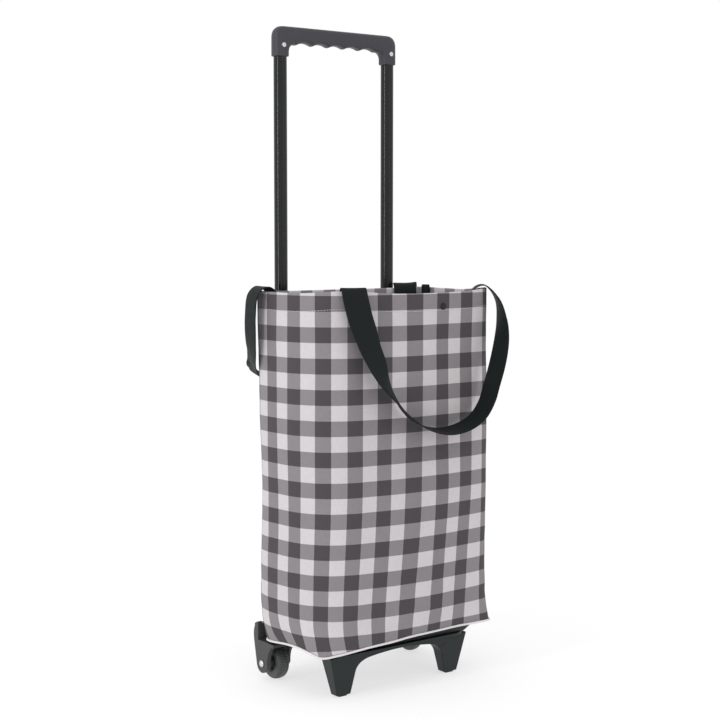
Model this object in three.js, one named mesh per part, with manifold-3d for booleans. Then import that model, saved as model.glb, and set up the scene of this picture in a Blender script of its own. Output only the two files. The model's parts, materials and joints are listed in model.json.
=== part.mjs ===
// Shopping trolley on wheels: a soft checked bag on a moulded base with two front legs,
// two rear wheels and a telescopic U handle. Units are millimetres.
// +X is to the right seen from the bag's front, +Y is towards the handle, +Z is up.

import * as THREE from 'three';
import { mergeVertices } from 'three/addons/utils/BufferGeometryUtils.js';
import Module from 'manifold-3d';

const wasm = await Module();
wasm.setup();

// ---------- driving dimensions ----------

const gap = 0.3;                    // between pieces that rest on each other
const originShift = { x: 0, y: -15 }; // moves the bag's plan centre so that the whole stands about the origin

const bag = { halfWidth: 150, halfDepth: 83, wall: 3, bottom: 62, top: 558 };
const bagCorners = { frontLeft: 100, frontRight: 28, rearRight: 35, rearLeft: 15 };
const hem = { height: 26, thickness: 1.2 };
const piping = { out: 2.2, height: 3 };
const board = { thickness: 3, inset: 8 };

const tube = { x: 95.5, y: 98.5, outerR: 11, outerBore: 10, innerR: 9.5, innerBore: 8.3, sides: 24 };
const outerTube = { bottom: 58, top: 505 };
const innerTube = { bottom: 445, top: 915 };
const collar = { bottom: 490, top: 515, skirtR: 12.6, skirtBore: 11.25, lipBore: 9.8 };
const bridge = { bottom: 462, top: 486, ringR: 12.6, ringBore: 11.25, barFront: 89.5, barBack: 98.5 };
const bush = { bottom: 425, flangeR: 9.8, stemR: 8.0, stemTop: 455 };
const detent = { z: 474, buttonR: 3, holeR: 3.4, springWidth: 6, springLeaf: 0.8 };
const handleTravel = 320;

const grip = { top: 930, barBottom: 905, socketBottom: 887, half: 11.5, depth: 20, corner: 10 };
const gripValleys = { count: 5, pitch: 28, depth: 3.5 };
const gripBore = 9.8;
const gripScrew = { z: 903, headR: 3, headHeight: 1.2, shankR: 1.6, holeR: 2.1, length: 11 };

const wheel = { x: 123, y: 76, radius: 25, tyreWidth: 19, tyreBore: 13.3, hubR: 13, hubWidth: 17 };
const hubBore = 4.2;
const hubBoss = { radius: 6.5, outerX: 16.2 };
const wheelBush = { radius: 3.9, bore: 3.0 };
const axle = { radius: 2.6, headR: 5, headHeight: 2.4, holeR: 2.9 };
const fork = { outerX: 146.5, outerPlate: 6.5, outerEyeR: 13.5, innerX: 102.5, innerPlate: 4, innerEyeR: 8 };
const shoulder = { roofBottom: 53.5, top: 84, rear: 96, front: 50 };

const tray = { bottom: 58.3, top: 61.6, halfWidth: 122, front: -68, rear: 71, corner: 30, ribBottom: 52.5 };
const leg = { x: 96, y: -47, footHalf: 12, shoulderHalf: 20, top: 58, footDepth: 13, topDepth: 24 };
const arch = { height: 53, springHalf: 66 };
const pad = { halfX: 7, halfY: 5, height: 4.5, recess: 2.5 };
const baseScrew = { headR: 3.4, headHeight: 1.6, shankR: 1.7, holeR: 2.1, legBottom: 46, bracketBottom: 54 };

const strap = { width: 35, thickness: 1.6 };
const pocket = { bottom: 92, top: 498, innerR: 12.95, thickness: 1.2, sideX: 117, sideY: 83.9 };
const snap = { x: 55, z: 537, capR: 5, capHeight: 1.8, backR: 4.4, backHeight: 1.4 };
const sideTab = { bearing: 26, width: 12, drop: 26, rise: 4, thickness: 1.4, clear: 0.5 };

// ---------- materials ----------

function finish(color, roughness, metalness = 0) {
  return new THREE.MeshStandardMaterial({ color, roughness, metalness });
}

const mats = {
  check: finish(0xa39ca0, 0.9),
  trim: finish(0xdcd8da, 0.85),
  lining: finish(0x605c5e, 0.9),
  webbing: finish(0x1b2322, 0.8),
  board: finish(0x55504e, 0.9),
  darkPlastic: finish(0x17211f, 0.5),
  greyPlastic: finish(0x4a4a4c, 0.5),
  gripPlastic: finish(0x2a2c2f, 0.5),
  blackTube: finish(0x101214, 0.18, 0.5),
  steel: finish(0xc8cacb, 0.3, 1),
  nylon: finish(0xdfdfda, 0.5),
  rubber: finish(0x151515, 0.9),
  tyre: finish(0x2c2d2e, 0.45),
  hub: finish(0x1a1a1b, 0.4),
};

// ---------- small helpers ----------

const root = new THREE.Group();

function part(name, geometry, material, x = 0, y = 0, z = 0) {
  const mesh = new THREE.Mesh(geometry, material);
  mesh.name = name;
  mesh.position.set(x, y, z);
  root.add(mesh);
  return mesh;
}

function toSolid(geometry) {
  const bare = geometry.clone();
  bare.deleteAttribute('normal');
  bare.deleteAttribute('uv');
  const merged = mergeVertices(bare, 1e-4);
  const mesh = new wasm.Mesh({
    numProp: 3,
    vertProperties: new Float32Array(merged.attributes.position.array),
    triVerts: new Uint32Array(merged.index.array),
  });
  return new wasm.Manifold(mesh);
}

function fromSolid(solid) {
  const mesh = solid.getMesh();
  const geometry = new THREE.BufferGeometry();
  geometry.setAttribute('position', new THREE.BufferAttribute(new Float32Array(mesh.vertProperties), 3));
  geometry.setIndex(new THREE.BufferAttribute(new Uint32Array(mesh.triVerts), 1));
  geometry.computeVertexNormals();
  return geometry;
}

function cut(geometry, ...tools) {
  return fromSolid(tools.reduce((left, tool) => left.subtract(toSolid(tool)), toSolid(geometry)));
}

function join(first, ...others) {
  return fromSolid(others.reduce((sum, other) => sum.add(toSolid(other)), toSolid(first)));
}

function box(x0, x1, y0, y1, z0, z1) {
  const geometry = new THREE.BoxGeometry(x1 - x0, y1 - y0, z1 - z0);
  return geometry.translate((x0 + x1) / 2, (y0 + y1) / 2, (z0 + z1) / 2);
}

// A cylinder whose axis runs along 'x', 'y' or 'z' from a to b, centred on (u, v) in the other two.
function rod(axis, radius, a, b, u, v, sides = 20) {
  const geometry = new THREE.CylinderGeometry(radius, radius, b - a, sides);
  const mid = (a + b) / 2;
  if (axis === 'x') return geometry.rotateZ(-Math.PI / 2).translate(mid, u, v);
  if (axis === 'y') return geometry.translate(u, mid, v);
  return geometry.rotateX(Math.PI / 2).translate(u, v, mid);
}

// A turned body about the vertical line through (x, y), from a list of [radius, z].
function turned(profile, x, y, sides) {
  const points = profile.map(([r, z]) => new THREE.Vector2(r, z));
  return new THREE.LatheGeometry(points, sides).rotateX(Math.PI / 2).translate(x, y, 0);
}

function ring(outer, inner, z0, z1, x, y, sides = tube.sides) {
  const profile = [[inner, z0], [outer, z0], [outer, z1], [inner, z1], [inner, z0]];
  return turned(profile, x, y, sides);
}

// An outline in X and Y (a THREE.Shape) raised from z0 to z1.
function raised(shape, z0, z1) {
  const geometry = new THREE.ExtrudeGeometry(shape, { depth: z1 - z0, bevelEnabled: false, curveSegments: 5 });
  return geometry.translate(0, 0, z0);
}

// A rectangle in plan with a radius of its own at each corner.
function roundedPlan(x0, x1, y0, y1, corners, Kind = THREE.Shape) {
  const { frontLeft, frontRight, rearRight, rearLeft } = corners;
  const outline = new Kind();
  outline.moveTo(x0 + frontLeft, y0);
  outline.lineTo(x1 - frontRight, y0);
  outline.absarc(x1 - frontRight, y0 + frontRight, frontRight, -Math.PI / 2, 0);
  outline.lineTo(x1, y1 - rearRight);
  outline.absarc(x1 - rearRight, y1 - rearRight, rearRight, 0, Math.PI / 2);
  outline.lineTo(x0 + rearLeft, y1);
  outline.absarc(x0 + rearLeft, y1 - rearLeft, rearLeft, Math.PI / 2, Math.PI);
  outline.lineTo(x0, y0 + frontLeft);
  outline.absarc(x0 + frontLeft, y0 + frontLeft, frontLeft, Math.PI, Math.PI * 1.5);
  return outline;
}

// The bag's plan, less inset all round.
function bagOutline(inset, Kind) {
  const w = bag.halfWidth - inset;
  const d = bag.halfDepth - inset;
  const corners = Object.fromEntries(Object.entries(bagCorners).map(([key, r]) => [key, r - inset]));
  return roundedPlan(-w, w, -d, d, corners, Kind);
}

function bagRing(outerInset, innerInset, z0, z1) {
  const outline = bagOutline(outerInset);
  outline.holes.push(bagOutline(innerInset, THREE.Path));
  return raised(outline, z0, z1);
}

// ---------- bag ----------

// The right side panel: it runs round both corners to the seams of the front and rear panels.
function sidePanel(frontR, rearR) {
  const frontX = bag.halfWidth - frontR + gap / 2;
  const frontY = -bag.halfDepth + frontR;
  const rearX = bag.halfWidth - rearR + gap / 2;
  const rearY = bag.halfDepth - rearR;
  const outline = new THREE.Shape();
  outline.moveTo(frontX, -bag.halfDepth);
  outline.absarc(frontX, frontY, frontR, -Math.PI / 2, 0);
  outline.absarc(rearX, rearY, rearR, 0, Math.PI / 2);
  outline.absarc(rearX, rearY, rearR - bag.wall, Math.PI / 2, 0, true);
  outline.absarc(frontX, frontY, frontR - bag.wall, 0, -Math.PI / 2, true);
  return raised(outline, bag.bottom, bag.top);
}

function bagPanels() {
  const w = bag.halfWidth - gap / 2;
  const d = bag.halfDepth;
  const { frontLeft, frontRight, rearRight, rearLeft } = bagCorners;
  const snapHole = rod('y', 2.2, -d - 5, -d + 15, snap.x, snap.z);
  const snapHoleRear = rod('y', 2.2, d - 15, d + 5, snap.x, snap.z);
  const front = box(frontLeft - w, w - frontRight, -d, -d + bag.wall, bag.bottom, bag.top);
  const rear = box(rearLeft - w, w - rearRight, d - bag.wall, d, bag.bottom, bag.top);
  part('bag_front_panel', cut(front, snapHole), mats.check);
  part('bag_rear_panel', cut(rear, snapHoleRear), mats.check);
  part('bag_side_panel_right', sidePanel(frontRight, rearRight), mats.check);
  part('bag_side_panel_left', mirrored(sidePanel(frontLeft, rearLeft)), mats.check);
  const hemOuter = bag.wall + gap;
  const hemInner = hemOuter + hem.thickness;
  const hemRing = bagRing(hemOuter, hemInner, bag.top - hem.height, bag.top - 1);
  part('rim_hem', cut(hemRing, snapHole, snapHoleRear), mats.trim);
  part('bottom_piping', bagRing(-piping.out, -gap, bag.bottom, bag.bottom + piping.height), mats.trim);
}

// The same solid on the other side of the plane X = 0.
function mirrored(geometry) {
  const copy = geometry.index ? geometry.toNonIndexed() : geometry.clone();
  copy.scale(-1, 1, 1);
  const position = copy.attributes.position;
  for (let i = 0; i < position.count; i += 3) {
    const second = [position.getX(i + 1), position.getY(i + 1), position.getZ(i + 1)];
    position.setXYZ(i + 1, position.getX(i + 2), position.getY(i + 2), position.getZ(i + 2));
    position.setXYZ(i + 2, ...second);
  }
  copy.computeVertexNormals();
  return copy;
}

// ---------- base ----------

const screwSpots = [
  [-leg.x, leg.y],
  [leg.x, leg.y],
  [-114, 52],
  [114, 52],
];

function screwHoles(z0, z1) {
  return screwSpots.map(([x, y]) => rod('z', baseScrew.holeR, z0, z1, x, y, 12));
}

function bagFloor() {
  const floorTop = bag.bottom + bag.wall;
  const bottomPanel = raised(bagOutline(bag.wall + gap), bag.bottom, floorTop);
  part('bag_bottom_panel', cut(bottomPanel, ...screwHoles(50, 80)), mats.lining);
  const boardBottom = floorTop + gap + baseScrew.headHeight + gap;
  const insert = raised(bagOutline(board.inset), boardBottom, boardBottom + board.thickness);
  part('bottom_board', insert, mats.board);
}

function baseTray() {
  const corners = { frontLeft: tray.corner, frontRight: tray.corner, rearRight: tray.corner, rearLeft: tray.corner };
  const plan = roundedPlan(-tray.halfWidth, tray.halfWidth, tray.front, tray.rear, corners);
  const plate = raised(plan, tray.bottom, tray.top);
  const ribs = [-60, 0, 60].map((x) => box(x - 2, x + 2, -28, 68, tray.ribBottom, tray.bottom + 1));
  const crossRib = box(-92, 92, 18, 22, tray.ribBottom, tray.bottom + 1);
  part('base_tray', cut(join(plate, ...ribs, crossRib), ...screwHoles(40, 80)), mats.darkPlastic);
}

// Front view of the leg frame: two tapered legs under an arched apron.
function legOutline() {
  const foot = leg.footHalf;
  const outerTop = leg.x + leg.shoulderHalf + 6;
  const outline = new THREE.Shape();
  outline.moveTo(-leg.x - foot, pad.height - pad.recess);
  outline.lineTo(-leg.x + foot, pad.height - pad.recess);
  outline.lineTo(-arch.springHalf - 11, 34);
  outline.quadraticCurveTo(-arch.springHalf - 7, 47, -arch.springHalf + 14, 50);
  outline.quadraticCurveTo(0, arch.height + 4, arch.springHalf - 14, 50);
  outline.quadraticCurveTo(arch.springHalf + 7, 47, arch.springHalf + 11, 34);
  outline.lineTo(leg.x - foot, pad.height - pad.recess);
  outline.lineTo(leg.x + foot, pad.height - pad.recess);
  outline.lineTo(outerTop, leg.top);
  outline.lineTo(-outerTop, leg.top);
  outline.closePath();
  return outline;
}

function legFrame() {
  const geometry = new THREE.ExtrudeGeometry(legOutline(), { depth: 1, bevelEnabled: false, curveSegments: 8 });
  const position = geometry.attributes.position;
  for (let i = 0; i < position.count; i++) {
    const height = position.getY(i);
    const rise = Math.min(1, Math.max(0, height / leg.top));
    const depth = leg.footDepth + (leg.topDepth - leg.footDepth) * rise;
    const y = leg.y + (0.5 - position.getZ(i)) * depth;
    position.setXYZ(i, position.getX(i), y, height);
  }
  const recesses = [-1, 1].map((side) => {
    const x = side * leg.x;
    return box(x - pad.halfX - gap, x + pad.halfX + gap, leg.y - pad.halfY - gap, leg.y + pad.halfY + gap, 0,
      pad.height + gap);
  });
  part('leg_frame', cut(geometry, ...recesses, ...screwHoles(40, 80)), mats.darkPlastic);
  [['left', -1], ['right', 1]].forEach(([name, side]) => {
    const x = side * leg.x;
    const block = box(x - pad.halfX, x + pad.halfX, leg.y - pad.halfY, leg.y + pad.halfY, 0, pad.height);
    part(`foot_pad_${name}`, block, mats.rubber);
  });
}

function baseScrews() {
  const seat = bag.bottom + bag.wall + gap;
  const names = ['leg_screw_left', 'leg_screw_right', 'bracket_screw_left', 'bracket_screw_right'];
  names.forEach((name, i) => {
    const [x, y] = screwSpots[i];
    const low = name.startsWith('leg') ? baseScrew.legBottom : baseScrew.bracketBottom;
    const profile = [
      [0, low],
      [baseScrew.shankR, low],
      [baseScrew.shankR, seat],
      [baseScrew.headR, seat],
      [baseScrew.headR * 0.7, seat + baseScrew.headHeight],
      [0, seat + baseScrew.headHeight],
    ];
    part(name, turned(profile, x, y, 12), mats.steel);
  });
}

// ---------- wheel brackets ----------

// Side view of a fork plate: an eye about the axle that widens up to a rounded rear shoulder.
function forkOutline(eye) {
  const outline = new THREE.Shape();
  const centre = { y: wheel.y, z: wheel.radius };
  const roofTop = tray.bottom - gap;
  outline.absarc(centre.y, centre.z, eye, Math.PI * 0.95, Math.PI * 1.97);
  outline.lineTo(shoulder.rear, 56);
  outline.quadraticCurveTo(shoulder.rear + 3, 72, shoulder.rear - 4, shoulder.top - 4);
  outline.quadraticCurveTo(shoulder.rear - 6, shoulder.top, shoulder.rear - 9, shoulder.top);
  outline.lineTo(bag.halfDepth + 1, shoulder.top);
  outline.lineTo(bag.halfDepth + 1, roofTop);
  outline.lineTo(shoulder.front, roofTop);
  outline.lineTo(shoulder.front, shoulder.roofBottom);
  outline.quadraticCurveTo(centre.y - eye - 1, 46, centre.y - eye, centre.z + 4);
  outline.closePath();
  return outline;
}

// An outline in Y and Z, thick from x0 to x1.
function slab(outline, x0, x1) {
  const geometry = new THREE.ExtrudeGeometry(outline, { depth: x1 - x0, bevelEnabled: false, curveSegments: 6 });
  return geometry.rotateX(Math.PI / 2).rotateZ(Math.PI / 2).translate(x0, 0, 0);
}

function bracket() {
  const { innerX, outerX } = fork;
  const roofTop = tray.bottom - gap;
  const outer = slab(forkOutline(fork.outerEyeR), outerX - fork.outerPlate, outerX);
  const inner = slab(forkOutline(fork.innerEyeR), innerX, innerX + fork.innerPlate);
  const roof = box(innerX, outerX, shoulder.front - 4, bag.halfDepth + 2, shoulder.roofBottom, roofTop);
  const back = box(innerX, outerX, bag.halfDepth + 1, shoulder.rear - 2, shoulder.roofBottom, shoulder.top - 3);
  const socket = rod('z', tube.outerR + 4, outerTube.bottom - 6, shoulder.top - 2, tube.x, tube.y, 20);
  const clearBag = box(0, 200, 0, bag.halfDepth + piping.out + gap, roofTop, 120);
  const bore = rod('z', tube.outerR + 0.35, outerTube.bottom - gap, 120, tube.x, tube.y, tube.sides);
  const axleHole = rod('x', axle.holeR, 60, 200, wheel.y, wheel.radius, 16);
  const solid = join(outer, inner, roof, back, socket);
  return cut(solid, clearBag, bore, axleHole, ...screwHoles(40, 80));
}

// ---------- wheels ----------

// A turned body about the axle, from a list of [radius, offset along X from the wheel's middle].
function wheelTurned(profile, sides) {
  const points = profile.map(([r, x]) => new THREE.Vector2(r, x));
  return new THREE.LatheGeometry(points, sides).rotateZ(-Math.PI / 2);
}

function tyreGeometry() {
  const half = wheel.tyreWidth / 2;
  const profile = [[wheel.tyreBore, -half + 1], [wheel.tyreBore + 2, -half]];
  const steps = 6;
  const shoulderR = 19;
  for (let i = 0; i <= steps; i++) {
    const angle = -Math.PI / 2 + (Math.PI * i) / steps;
    profile.push([shoulderR + (wheel.radius - shoulderR) * Math.cos(angle), half * Math.sin(angle)]);
  }
  profile.push([wheel.tyreBore + 2, half], [wheel.tyreBore, half - 1], [wheel.tyreBore, -half + 1]);
  return wheelTurned(profile, 28);
}

function hubGeometry() {
  const half = wheel.hubWidth / 2;
  const web = 3;
  const profile = [
    [hubBore, -hubBoss.outerX],
    [hubBoss.radius, -hubBoss.outerX],
    [hubBoss.radius, -web],
    [wheel.hubR - 2, -web],
    [wheel.hubR - 1.5, -half],
    [wheel.hubR, -half],
    [wheel.hubR, half],
    [wheel.hubR - 1.5, half],
    [wheel.hubR - 2, web],
    [hubBoss.radius, web],
    [hubBoss.radius, hubBoss.outerX],
    [hubBore, hubBoss.outerX],
    [hubBore, -hubBoss.outerX],
  ];
  return wheelTurned(profile, 24);
}

function bushGeometry() {
  const half = hubBoss.outerX - 0.4;
  const profile = [
    [wheelBush.bore, -half],
    [wheelBush.radius, -half],
    [wheelBush.radius, half],
    [wheelBush.bore, half],
    [wheelBush.bore, -half],
  ];
  return wheelTurned(profile, 24);
}

function axleGeometry() {
  const outer = fork.outerX + gap - wheel.x;
  const inner = fork.innerX - gap - wheel.x;
  const r = axle.headR;
  const profile = [
    [0, inner - axle.headHeight],
    [r * 0.6, inner - axle.headHeight],
    [r, inner - axle.headHeight * 0.3],
    [r, inner],
    [axle.radius, inner],
    [axle.radius, outer],
    [r, outer],
    [r, outer + axle.headHeight * 0.3],
    [r * 0.6, outer + axle.headHeight],
    [0, outer + axle.headHeight],
  ];
  return wheelTurned(profile, 16);
}

function wheels() {
  [['left', -1], ['right', 1]].forEach(([name, side]) => {
    const place = [side * wheel.x, wheel.y, wheel.radius];
    const turn = (geometry) => (side < 0 ? mirrored(geometry) : geometry);
    part(`tyre_${name}`, tyreGeometry(), mats.tyre, ...place);
    part(`wheel_hub_${name}`, hubGeometry(), mats.hub, ...place);
    part(`wheel_bush_${name}`, bushGeometry(), mats.nylon, ...place);
    part(`axle_rivet_${name}`, turn(axleGeometry()), mats.steel, ...place);
    part(`wheel_bracket_${name}`, turn(bracket()), mats.greyPlastic);
  });
}

// ---------- telescopic handle ----------

function screwHole(x, y0, y1) {
  return rod('y', gripScrew.holeR, y0, y1, x, gripScrew.z, 16);
}

function outerTubeGeometry() {
  const body = ring(tube.outerR, tube.outerBore, outerTube.bottom, outerTube.top, 0, tube.y);
  const locks = [detent.z, detent.z - handleTravel].map((z) => rod('y', detent.holeR, tube.y, tube.y + 20, 0, z, 16));
  return cut(body, ...locks);
}

function innerTubeGeometry() {
  const body = ring(tube.innerR, tube.innerBore, innerTube.bottom, innerTube.top, 0, tube.y);
  const lock = rod('y', detent.holeR, tube.y, tube.y + 20, 0, detent.z, 16);
  return cut(body, lock, screwHole(0, tube.y - 20, tube.y));
}

// V-shaped leaf spring inside the inner tube, behind the detent button.
function springGeometry() {
  const t = detent.springLeaf;
  const low = detent.z - 24 + 12;
  const back = tube.y + 5.2;
  const front = tube.y - 5.2;
  const outline = new THREE.Shape();
  outline.moveTo(front, detent.z + 5);
  outline.lineTo(front + 1, low);
  outline.absarc((front + back) / 2, low, (back - front) / 2 - 1, Math.PI, 0, false);
  outline.lineTo(back, detent.z + 5);
  outline.lineTo(back - t, detent.z + 5);
  outline.lineTo(back - 1 - t, low);
  outline.absarc((front + back) / 2, low, (back - front) / 2 - 1 - t, 0, Math.PI, true);
  outline.lineTo(front + t, detent.z + 5);
  outline.closePath();
  return slab(outline, -detent.springWidth / 2, detent.springWidth / 2);
}

function buttonGeometry() {
  const start = tube.y + 5.2 + gap;
  const end = tube.y + tube.innerR + 0.35;
  const profile = [
    new THREE.Vector2(0, start),
    new THREE.Vector2(detent.buttonR, start),
    new THREE.Vector2(detent.buttonR, end - 1),
    new THREE.Vector2(detent.buttonR * 0.7, end - 0.3),
    new THREE.Vector2(0, end),
  ];
  return new THREE.LatheGeometry(profile, 16).translate(0, 0, detent.z);
}

function sliderGeometry() {
  const profile = [
    [0, bush.bottom],
    [bush.flangeR - 0.8, bush.bottom],
    [bush.flangeR, bush.bottom + 1],
    [bush.flangeR, innerTube.bottom - gap],
    [bush.stemR, innerTube.bottom - gap],
    [bush.stemR, bush.stemTop - 1],
    [bush.stemR - 1, bush.stemTop],
    [0, bush.stemTop],
  ];
  return turned(profile, 0, tube.y, tube.sides);
}

function collarGeometry() {
  const lip = outerTube.top + gap;
  const profile = [
    [collar.skirtBore, collar.bottom],
    [collar.skirtR, collar.bottom],
    [collar.skirtR, collar.top - 2],
    [collar.skirtR - 1.5, collar.top],
    [collar.lipBore, collar.top],
    [collar.lipBore, lip],
    [collar.skirtBore, lip],
    [collar.skirtBore, collar.bottom],
  ];
  return turned(profile, 0, tube.y, tube.sides);
}

function gripScrewGeometry() {
  const face = tube.y - grip.depth / 2;
  const profile = [
    new THREE.Vector2(0, -gap - gripScrew.headHeight),
    new THREE.Vector2(gripScrew.headR * 0.8, -gap - gripScrew.headHeight),
    new THREE.Vector2(gripScrew.headR, -gap - gripScrew.headHeight * 0.4),
    new THREE.Vector2(gripScrew.headR, -gap),
    new THREE.Vector2(gripScrew.shankR, -gap),
    new THREE.Vector2(gripScrew.shankR, gripScrew.length - gap),
    new THREE.Vector2(0, gripScrew.length),
  ];
  return new THREE.LatheGeometry(profile, 16).translate(0, face, gripScrew.z);
}

// Front view of the grip: a bar between two sockets, with finger valleys along its underside.
function gripOutline() {
  const end = tube.x + grip.half;
  const inner = tube.x - grip.half;
  const outline = new THREE.Shape();
  outline.moveTo(-end, grip.socketBottom);
  outline.lineTo(-inner, grip.socketBottom);
  outline.quadraticCurveTo(-inner, grip.barBottom - 3, -inner + 9, grip.barBottom);
  const run = (gripValleys.count * gripValleys.pitch) / 2;
  outline.lineTo(-run, grip.barBottom - 1);
  for (let i = 0; i < gripValleys.count; i++) {
    const start = -run + i * gripValleys.pitch;
    const mid = start + gripValleys.pitch / 2;
    const high = grip.barBottom - 1 + gripValleys.depth * 2;
    outline.quadraticCurveTo(mid, high, start + gripValleys.pitch, grip.barBottom - 1);
  }
  outline.lineTo(inner - 9, grip.barBottom);
  outline.quadraticCurveTo(inner, grip.barBottom - 3, inner, grip.socketBottom);
  outline.lineTo(end, grip.socketBottom);
  outline.lineTo(end, grip.top - grip.corner);
  outline.quadraticCurveTo(end, grip.top, end - grip.corner, grip.top);
  outline.lineTo(-end + grip.corner, grip.top);
  outline.quadraticCurveTo(-end, grip.top, -end, grip.top - grip.corner);
  outline.closePath();
  return outline;
}

function gripGeometry() {
  const bevel = 2.5;
  const geometry = new THREE.ExtrudeGeometry(gripOutline(), {
    depth: grip.depth - 2 * bevel,
    bevelThickness: bevel,
    bevelSize: bevel,
    bevelOffset: -bevel,
    bevelSegments: 1,
    curveSegments: 5,
  });
  geometry.rotateX(Math.PI / 2).translate(0, tube.y + grip.depth / 2 - bevel, 0);
  const bores = [-tube.x, tube.x].map((x) => rod('z', gripBore, 800, innerTube.top + gap, x, tube.y, tube.sides));
  const holes = [-tube.x, tube.x].map((x) => screwHole(x, tube.y - 20, tube.y));
  return cut(geometry, ...bores, ...holes);
}

function handle() {
  part('handle_grip', gripGeometry(), mats.gripPlastic);
  [['left', -1], ['right', 1]].forEach(([name, side]) => {
    const x = side * tube.x;
    part(`grip_screw_${name}`, gripScrewGeometry(), mats.steel, x);
    part(`inner_tube_${name}`, innerTubeGeometry(), mats.blackTube, x);
    part(`slider_bush_${name}`, sliderGeometry(), mats.nylon, x);
    part(`detent_spring_${name}`, springGeometry(), mats.steel, x);
    part(`detent_button_${name}`, buttonGeometry(), mats.steel, x);
    part(`outer_tube_${name}`, outerTubeGeometry(), mats.blackTube, x);
    part(`tube_collar_${name}`, collarGeometry(), mats.gripPlastic, x);
  });
  const rings = [-tube.x, tube.x].map((x) => rod('z', bridge.ringR, bridge.bottom, bridge.top, x, tube.y, 28));
  const bores = [-tube.x, tube.x].map((x) => rod('z', bridge.ringBore, 400, 600, x, tube.y, tube.sides));
  const bar = box(-tube.x, tube.x, bridge.barFront, bridge.barBack, bridge.bottom + 3, bridge.top - 3);
  part('tube_bridge', cut(join(bar, ...rings), ...bores), mats.gripPlastic);
}

// ---------- rear pocket over the tubes ----------

// Half of the pocket's plan, from the side seam round one tube to the middle plane.
function pocketEdge(radius, seamOut) {
  const points = [new THREE.Vector2(pocket.sideX + seamOut, pocket.sideY)];
  const start = 0.18;
  const steps = 5;
  for (let i = 0; i <= steps; i++) {
    const angle = start + ((Math.PI / 2 - start) * i) / steps;
    points.push(new THREE.Vector2(tube.x + radius * Math.cos(angle), tube.y + radius * Math.sin(angle)));
  }
  return points;
}

function rearPocket() {
  const outer = pocketEdge(pocket.innerR + pocket.thickness, 1.5);
  const inner = pocketEdge(pocket.innerR, 0);
  const flip = (points) => points.map((p) => new THREE.Vector2(-p.x, p.y)).reverse();
  const loop = [...outer, ...flip(outer), ...flip(inner).reverse(), ...inner.reverse()];
  part('rear_pocket', raised(new THREE.Shape(loop), pocket.bottom, pocket.top), mats.check);
}

// ---------- webbing straps ----------

// Each stop is [x, y, z, turn, tilt]: the strap's middle, the direction of its width in plan
// in degrees from +X, and how far its far edge drops in degrees.
const frontStops = [
  [-89.8, -64.6, 524, -25, 0],
  [-89.8, -64.6, 550, -25, 0],
  [-91, -67, 561, -25, 0],
  [-93, -71.3, 565, -25, 0],
  [-94.6, -75.8, 563, -25, 0],
  [-94.8, -79, 554, -24, 0],
  [-89.5, -83, 526, -20, 0],
  [-82.5, -86, 504, -12, 0],
  [-76.5, -89, 484, -2, 0],
  [-68.5, -93.5, 463, 7, 0],
  [-59.7, -98, 440, 27, 0],
  [-45.7, -101.5, 417.5, 48, 0],
  [-28, -102.5, 395.5, 68, 5],
  [3, -102.5, 374, 85, 10],
  [41, -102.5, 364, 90, 10],
  [78, -102.5, 368, 90, 8],
  [104, -103, 381, 90, 4],
  [119, -104, 401, 90, 0],
  [127, -105, 424, 90, 0],
  [135, -105.5, 447, 90, 0],
  [142.5, -104, 469, 88, 0],
  [150, -99.5, 491, 82, 0],
  [156, -92, 514, 72, 0],
  [158.5, -81, 541, 60, 0],
  [153.5, -72, 557, 54, 0],
  [146.5, -66.4, 564, 53, 0],
  [139.5, -61.2, 563.5, 53, 0],
  [133.5, -56.6, 558, 53, 0],
  [131.5, -55.2, 549, 53, 0],
  [131.5, -55.2, 524, 53, 0],
];

const rearStops = [
  [-141.5, 56, 524, 84, 0],
  [-141.5, 56, 549, 84, 0],
  [-142.6, 56.5, 558.5, 84, 0],
  [-148.5, 58, 563.5, 84, 0],
  [-156, 61, 563, 83, 0],
  [-163, 65, 553, 82, 0],
  [-164, 68, 524, 82, 0],
  [-163, 69, 500, 82, 0],
  [-160.5, 73, 482, 78, 0],
  [-153, 84, 467, 62, 0],
  [-139, 98, 456, 54, 0],
  [-122, 118, 447, 74, 0],
  [-106, 130.5, 440, 86, 0],
  [-84, 133, 426, 90, 2],
  [-60, 132.5, 407, 90, 5],
  [-42, 132.5, 394, 90, 8],
  [-8, 132.5, 377, 90, 10],
  [30, 132.5, 370, 90, 8],
  [70, 132.5, 376, 90, 4],
  [100, 132, 393, 92, 0],
  [119, 125, 420, 102, 0],
  [128, 115, 450, 116, 0],
  [132, 106, 480, 130, 0],
  [132, 99.5, 510, 142, 0],
  [129, 94, 538, 150, 0],
  [125, 89.5, 554, 156, 0],
  [120.5, 85, 561, 159, 0],
  [115, 79.5, 563, 161, 0],
  [110.8, 73.4, 560.5, 161.6, 0],
  [109.2, 70.4, 553, 161.6, 0],
  [109.2, 70.4, 524, 161.6, 0],
];

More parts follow.
